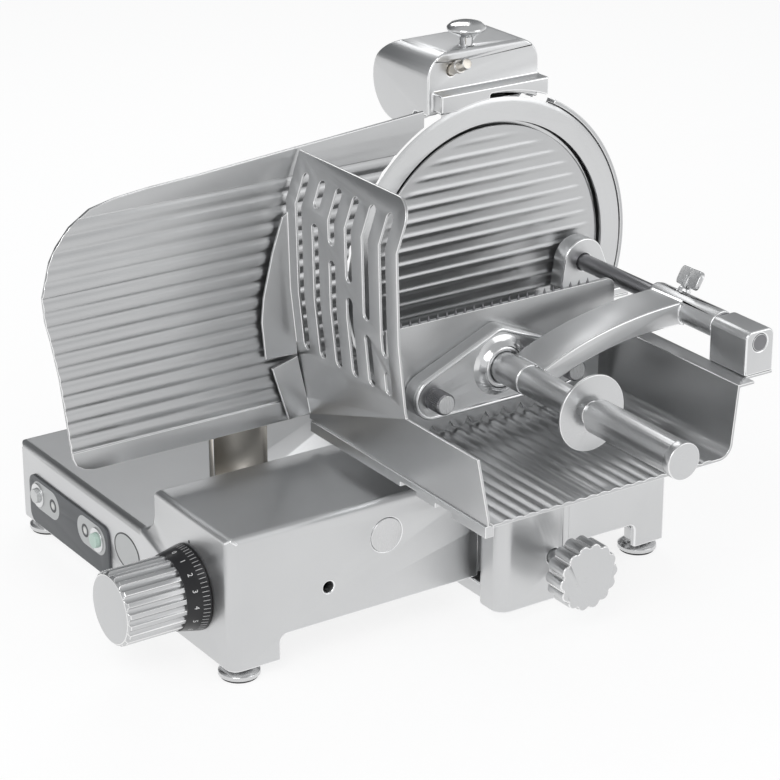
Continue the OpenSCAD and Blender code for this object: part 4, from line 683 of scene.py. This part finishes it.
tick_rule = Rule("tick_rule", Count=60, Long=7.0 * MM, Width=0.4 * MM, Thick=0.12 * MM, Finish=print_white)
calc = tick_rule.math
size = tick_rule.size
bar_size = tick_rule.vector(size("Long"), size("Width"), size("Thick"))
bar = tick_rule.node("GeometryNodeMeshCube", Size=bar_size)
line = tick_rule.node("GeometryNodeMeshLine", Count=size("Count"))
number = tick_rule.node("GeometryNodeInputIndex").outputs[0]
angle = calc("DIVIDE", calc("MULTIPLY", number, 2 * math.pi), size("Count"))
tick_reach, tick_along = cone_spot(TICK_SHARE)
tick_reach = (tick_reach + TICK_RAISE) * MM
tick_y = calc("ADD", calc("MULTIPLY", calc("SINE", angle), -tick_reach), INDEX_AXIS[0] * MM)
tick_z = calc("ADD", calc("MULTIPLY", calc("COSINE", angle), tick_reach), INDEX_AXIS[1] * MM)
laid = tick_rule.node("GeometryNodeSetPosition", Geometry=line.outputs[0],
                      Position=tick_rule.vector(tick_along * MM, tick_y, tick_z))
lean = tick_rule.node("FunctionNodeEulerToRotation", Euler=tick_rule.vector(0.0, -slope, 0.0))
swing = tick_rule.node("FunctionNodeEulerToRotation", Euler=tick_rule.vector(angle, 0.0, 0.0))
aim = tick_rule.node("FunctionNodeRotateRotation", {"rotation_space": "GLOBAL"}, Rotation=lean.outputs[0],
                     Rotate_By=swing.outputs[0])
spread = tick_rule.node("GeometryNodeInstanceOnPoints", Points=laid.outputs[0], Instance=bar.outputs["Mesh"],
                        Rotation=aim.outputs[0])
ticks = add_mesh("dial_ticks", tick_rule.build(spread.outputs[0], "Finish"))
dress(ticks, "index_dial", body="index", slot="black_dial")
print("tick faces:", len(ticks.data.polygons))


# %% Numbers on the cone
NUMBERS = 15
NUMBER_SIZE = 7.5
NUMBER_SHARE = 0.38
NUMBER_STEP = math.radians(23.57)
ZERO_ANGLE = math.radians(-2)
FIGURE_DEPTH = 0.04
FIGURE_STEPS = 3


def mesh_of(name, curve):
    """The mesh that a curve or a text gives, without materials."""
    holder = bpy.data.objects.new(name, curve)
    bpy.context.scene.collection.objects.link(holder)
    mesh = bpy.data.meshes.new_from_object(holder.evaluated_get(bpy.context.evaluated_depsgraph_get()))
    bpy.data.objects.remove(holder)
    mesh.materials.clear()
    return mesh


def raised_text(name, words, matrix, material, body):
    """Plain figures as a thin mesh, laid where the matrix says."""
    curve = bpy.data.curves.new(name, "FONT")
    curve.body = words
    curve.size = NUMBER_SIZE * MM
    curve.align_x = "CENTER"
    curve.align_y = "CENTER"
    curve.extrude = FIGURE_DEPTH * MM
    curve.resolution_u = FIGURE_STEPS
    mesh = mesh_of(name, curve)
    mesh.transform(matrix)
    piece = add_mesh(name, mesh, material)
    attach(piece, body)
    return piece


for value in range(NUMBERS):
    spot = on_cone(NUMBER_SHARE, ZERO_ANGLE + value * NUMBER_STEP)
    raised_text("dial_number_%02d" % value, str(value), spot, print_white, "index")
print("numbers:", NUMBERS)

# %% [markdown]
# ## The switch panel and the badge
#
# The panel on the left end carries two pale pills, each with a steel-rimmed
# button and a small dark mark. Beside it the real machine has an oval badge,
# which stays bare here, and a dot above the dial marks where its numbers are
# read. All are thin printed plates, cut as outlines and given a hair of
# thickness so that they catch an edge of light.

# %% Flat plates on the left end
def add_ring(curve, points):
    """Adds a closed line through (x, y, z) points in millimetres to a curve."""
    line = curve.splines.new("POLY")
    line.points.add(len(points) - 1)
    for point, (x, y, z) in zip(line.points, points):
        point.co = (x * MM, y * MM, z * MM, 1)
    line.use_cyclic_u = True


def flat_plate(name, outline, face_x, thick, material, holes=(), body="base"):
    """A thin plate on a plane across X, from (y, z) outlines in millimetres."""
    curve = bpy.data.curves.new(name, "CURVE")
    curve.dimensions = "2D"
    curve.fill_mode = "BOTH"
    curve.extrude = thick / 2 * MM
    for ring in (outline, *holes):
        add_ring(curve, [(y, z, 0) for y, z in ring])
    mesh = mesh_of(name, curve)
    # The outline's x and y become Y and Z, and the thickness lies along X.
    mesh.transform(Matrix(((0, 0, -1, (face_x + thick / 2) * MM), (1, 0, 0, 0), (0, 1, 0, 0), (0, 0, 0, 1))))
    shape = bmesh.new()
    shape.from_mesh(mesh)
    bmesh.ops.remove_doubles(shape, verts=shape.verts, dist=MERGE)
    bmesh.ops.recalc_face_normals(shape, faces=shape.faces)
    shape.to_mesh(mesh)
    shape.free()
    piece = add_mesh(name, mesh, material)
    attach(piece, body)
    return piece


def oval(y, z, half_y, half_z, steps=64):
    """An oval outline."""
    angles = [2 * math.pi * step / steps for step in range(steps)]
    return [(y + half_y * math.cos(angle), z + half_z * math.sin(angle)) for angle in angles]


def pill(y, z, half_y, half_z, steps=32):
    """A rounded bar outline with half-round ends."""
    straight = half_y - half_z
    ring = []
    for end, start in ((1, -math.pi / 2), (-1, math.pi / 2)):
        for step in range(steps + 1):
            angle = start + math.pi * step / steps
            ring.append((y + end * straight + half_z * math.cos(angle), z + half_z * math.sin(angle)))
    return ring


# %% Pills, marks and badge
PANEL_FACE = -22.5
PRINT_THICK = 0.3
BUTTON_Z = 54
BUTTONS = (("start", 247, 274), ("stop", 381, 347))
PILL_HALF = (31, 16)
MARK_OUT, MARK_IN = 7.4, 4.6
BAR_HALF = (2.6, 0.8)
BADGE = (187, 63.3)
BADGE_OUT, BADGE_IN = (26.5, 19.8), (24.9, 18.2)
POINTER = (56.8, 126.9, 1.3, 1.5)

mark_face = PANEL_FACE - PRINT_THICK
for label, button_y, mark_y in BUTTONS:
    middle = (button_y + mark_y) / 2
    mark = oval(mark_y, BUTTON_Z, MARK_OUT, MARK_OUT)
    mark_hole = oval(mark_y, BUTTON_Z, MARK_IN, MARK_IN)
    bar = pill(mark_y, BUTTON_Z, *BAR_HALF)
    pill_line = pill(middle, BUTTON_Z, *PILL_HALF)
    flat_plate(label + "_pill", pill_line, PANEL_FACE - PRINT_THICK / 2, PRINT_THICK, print_grey)
    flat_plate(label + "_mark", mark, mark_face, PRINT_THICK, print_dark, holes=[mark_hole])
    flat_plate(label + "_mark_bar", bar, mark_face, PRINT_THICK, print_dark)
badge_line = oval(*BADGE, *BADGE_IN)
badge_edge = oval(*BADGE, *BADGE_OUT)
flat_plate("badge_rim", badge_edge, face_x=-20.4, thick=0.65, material=print_dark, holes=[badge_line])
flat_plate("badge_face", badge_line, face_x=-20.2, thick=0.45, material=print_grey)
flat_plate("dial_pointer", oval(*POINTER), face_x=-20.3, thick=0.55, material=print_dark)
print("panel pieces:", 3 * len(BUTTONS) + 3)

# %% [markdown]
# ## The pusher's flange
#
# The plate that carries the pusher's spiked plate is a casting with a raised
# rim and a flared, polished hub where the handle's tube enters it. The rim is
# a round bead that follows the plate's outline; the hub is turned on the lathe.

# %% Bead and hub
PIN_Z, PIN_X = 240, (230, 392)
PIN_REACH = 23
APEX = (310, 282)
APEX_REACH = 16
BEAD = 2.4
BEAD_STEPS = 3
TUBE = (310, 258)
HUB_BORE, HUB_BACK = 22.2, 0.4
HUB_FLARE = [(HUB_BORE, -7.6), (23.4, -6.4), (25, -3.6), (28, -1.4), (33, HUB_BACK)]


def turns_left(first, second, third):
    """Whether the way through three points turns left."""
    return ((second[0] - first[0]) * (third[1] - first[1])
            - (second[1] - first[1]) * (third[0] - first[0])) > 0


def outline_of(circles, steps=48):
    """The convex outline round some (x, z, radius) circles, as points in order."""
    points = set()
    for x, z, radius in circles:
        points.update(oval(x, z, radius, radius, steps))
    outline = []
    for run in (sorted(points), sorted(points, reverse=True)):
        half = []
        for point in run:
            while len(half) > 1 and not turns_left(half[-2], half[-1], point):
                half.pop()
            half.append(point)
        outline += half[:-1]
    return outline


circles = [(x, PIN_Z, PIN_REACH - BEAD) for x in PIN_X]
rim_line = outline_of([*circles, (*APEX, APEX_REACH - BEAD)])
bead_curve = bpy.data.curves.new("flange_bead", "CURVE")
bead_curve.dimensions = "3D"
bead_curve.bevel_depth = BEAD * MM
bead_curve.bevel_resolution = BEAD_STEPS
add_ring(bead_curve, [(x, 0, z) for x, z in rim_line])
bead_mesh = mesh_of("flange_bead", bead_curve)
for part in bead_mesh.polygons:
    part.use_smooth = True
# The bead takes the lighter edge finish, a painted highlight along the rim.
bead = add_mesh("flange_rim", bead_mesh, cast_edge_highlight)
dress(bead, "press_flange", body="pusher", slot="cast_aluminium")
flare = lathe("flange_hub", "Y", TUBE, [*HUB_FLARE, (HUB_BORE, HUB_BACK), HUB_FLARE[0]], chrome)
dress(flare, "press_flange", body="pusher", slot="chrome")
print("rim points:", len(rim_line))

# %% [markdown]
# ## Knurled pins and a row of points
#
# Two knurled pins hold the flange, and points stand along the top edge of the
# plate that presses on the meat. A knurl is a lathe shape with many shallow
# flutes. The points are one small cone that Geometry Nodes repeat on a line.

# %% Pins and points
PIN_R, PIN_OUT = 11.5, -22
PIN_BACK = 0.5
PIN_PROFILE = [(0, PIN_OUT), (PIN_R - 1.6, PIN_OUT), (PIN_R, PIN_OUT + 1.6), (PIN_R, -4), (PIN_R - 1.5, -3),
               (PIN_R - 1.5, PIN_BACK), (0, PIN_BACK)]
FACE_PROFILE = [(0, PIN_OUT - 0.4), (PIN_R - 2.4, PIN_OUT - 0.4), (PIN_R - 1.8, PIN_OUT + 0.1),
                (0, PIN_OUT + 0.1)]
KNURL = {"steps": 144, "flutes": 36, "dip": 0.7}
for index, x in enumerate(PIN_X):
    knurl = lathe("flange_pin_%d" % index, "Y", (x, PIN_Z), PIN_PROFILE, dark_steel, **KNURL)
    dress(knurl, "press_pins", body="pusher" if index else None)
    face = lathe("flange_pin_face_%d" % index, "Y", (x, PIN_Z), FACE_PROFILE, steel)
    dress(face, "press_pins", body="pusher")

ROW_START = (195 * MM, 23.2 * MM, 312 * MM)
POINT_SIDES = 8
point_rule = Rule("point_rule", Count=23, Pitch=11.0 * MM, Foot=2.0 * MM, Height=6.5 * MM, Finish=dark_steel)
size = point_rule.size
cone = point_rule.node("GeometryNodeMeshCone", Vertices=POINT_SIDES, Radius_Top=0.0,
                       Radius_Bottom=size("Foot"), Depth=size("Height"))
row = point_rule.node("GeometryNodeMeshLine", Count=size("Count"), Start_Location=ROW_START,
                      Offset=point_rule.vector(size("Pitch"), 0.0, 0.0))
stood = point_rule.node("GeometryNodeInstanceOnPoints", Points=row.outputs[0], Instance=cone.outputs["Mesh"])
points = add_mesh("plate_points", point_rule.build(stood.outputs[0], "Finish"))
dress(points, "press_plate", body="pusher")
print("points:", len(points.data.polygons) // (POINT_SIDES + 1))

# %% [markdown]
# ## The view transform
#
# The picture is shown through the Standard view transform. The visual model must stay
# inside the CAD model's box.

# %% Set the view transform
bpy.context.scene.view_settings.view_transform = "Standard"
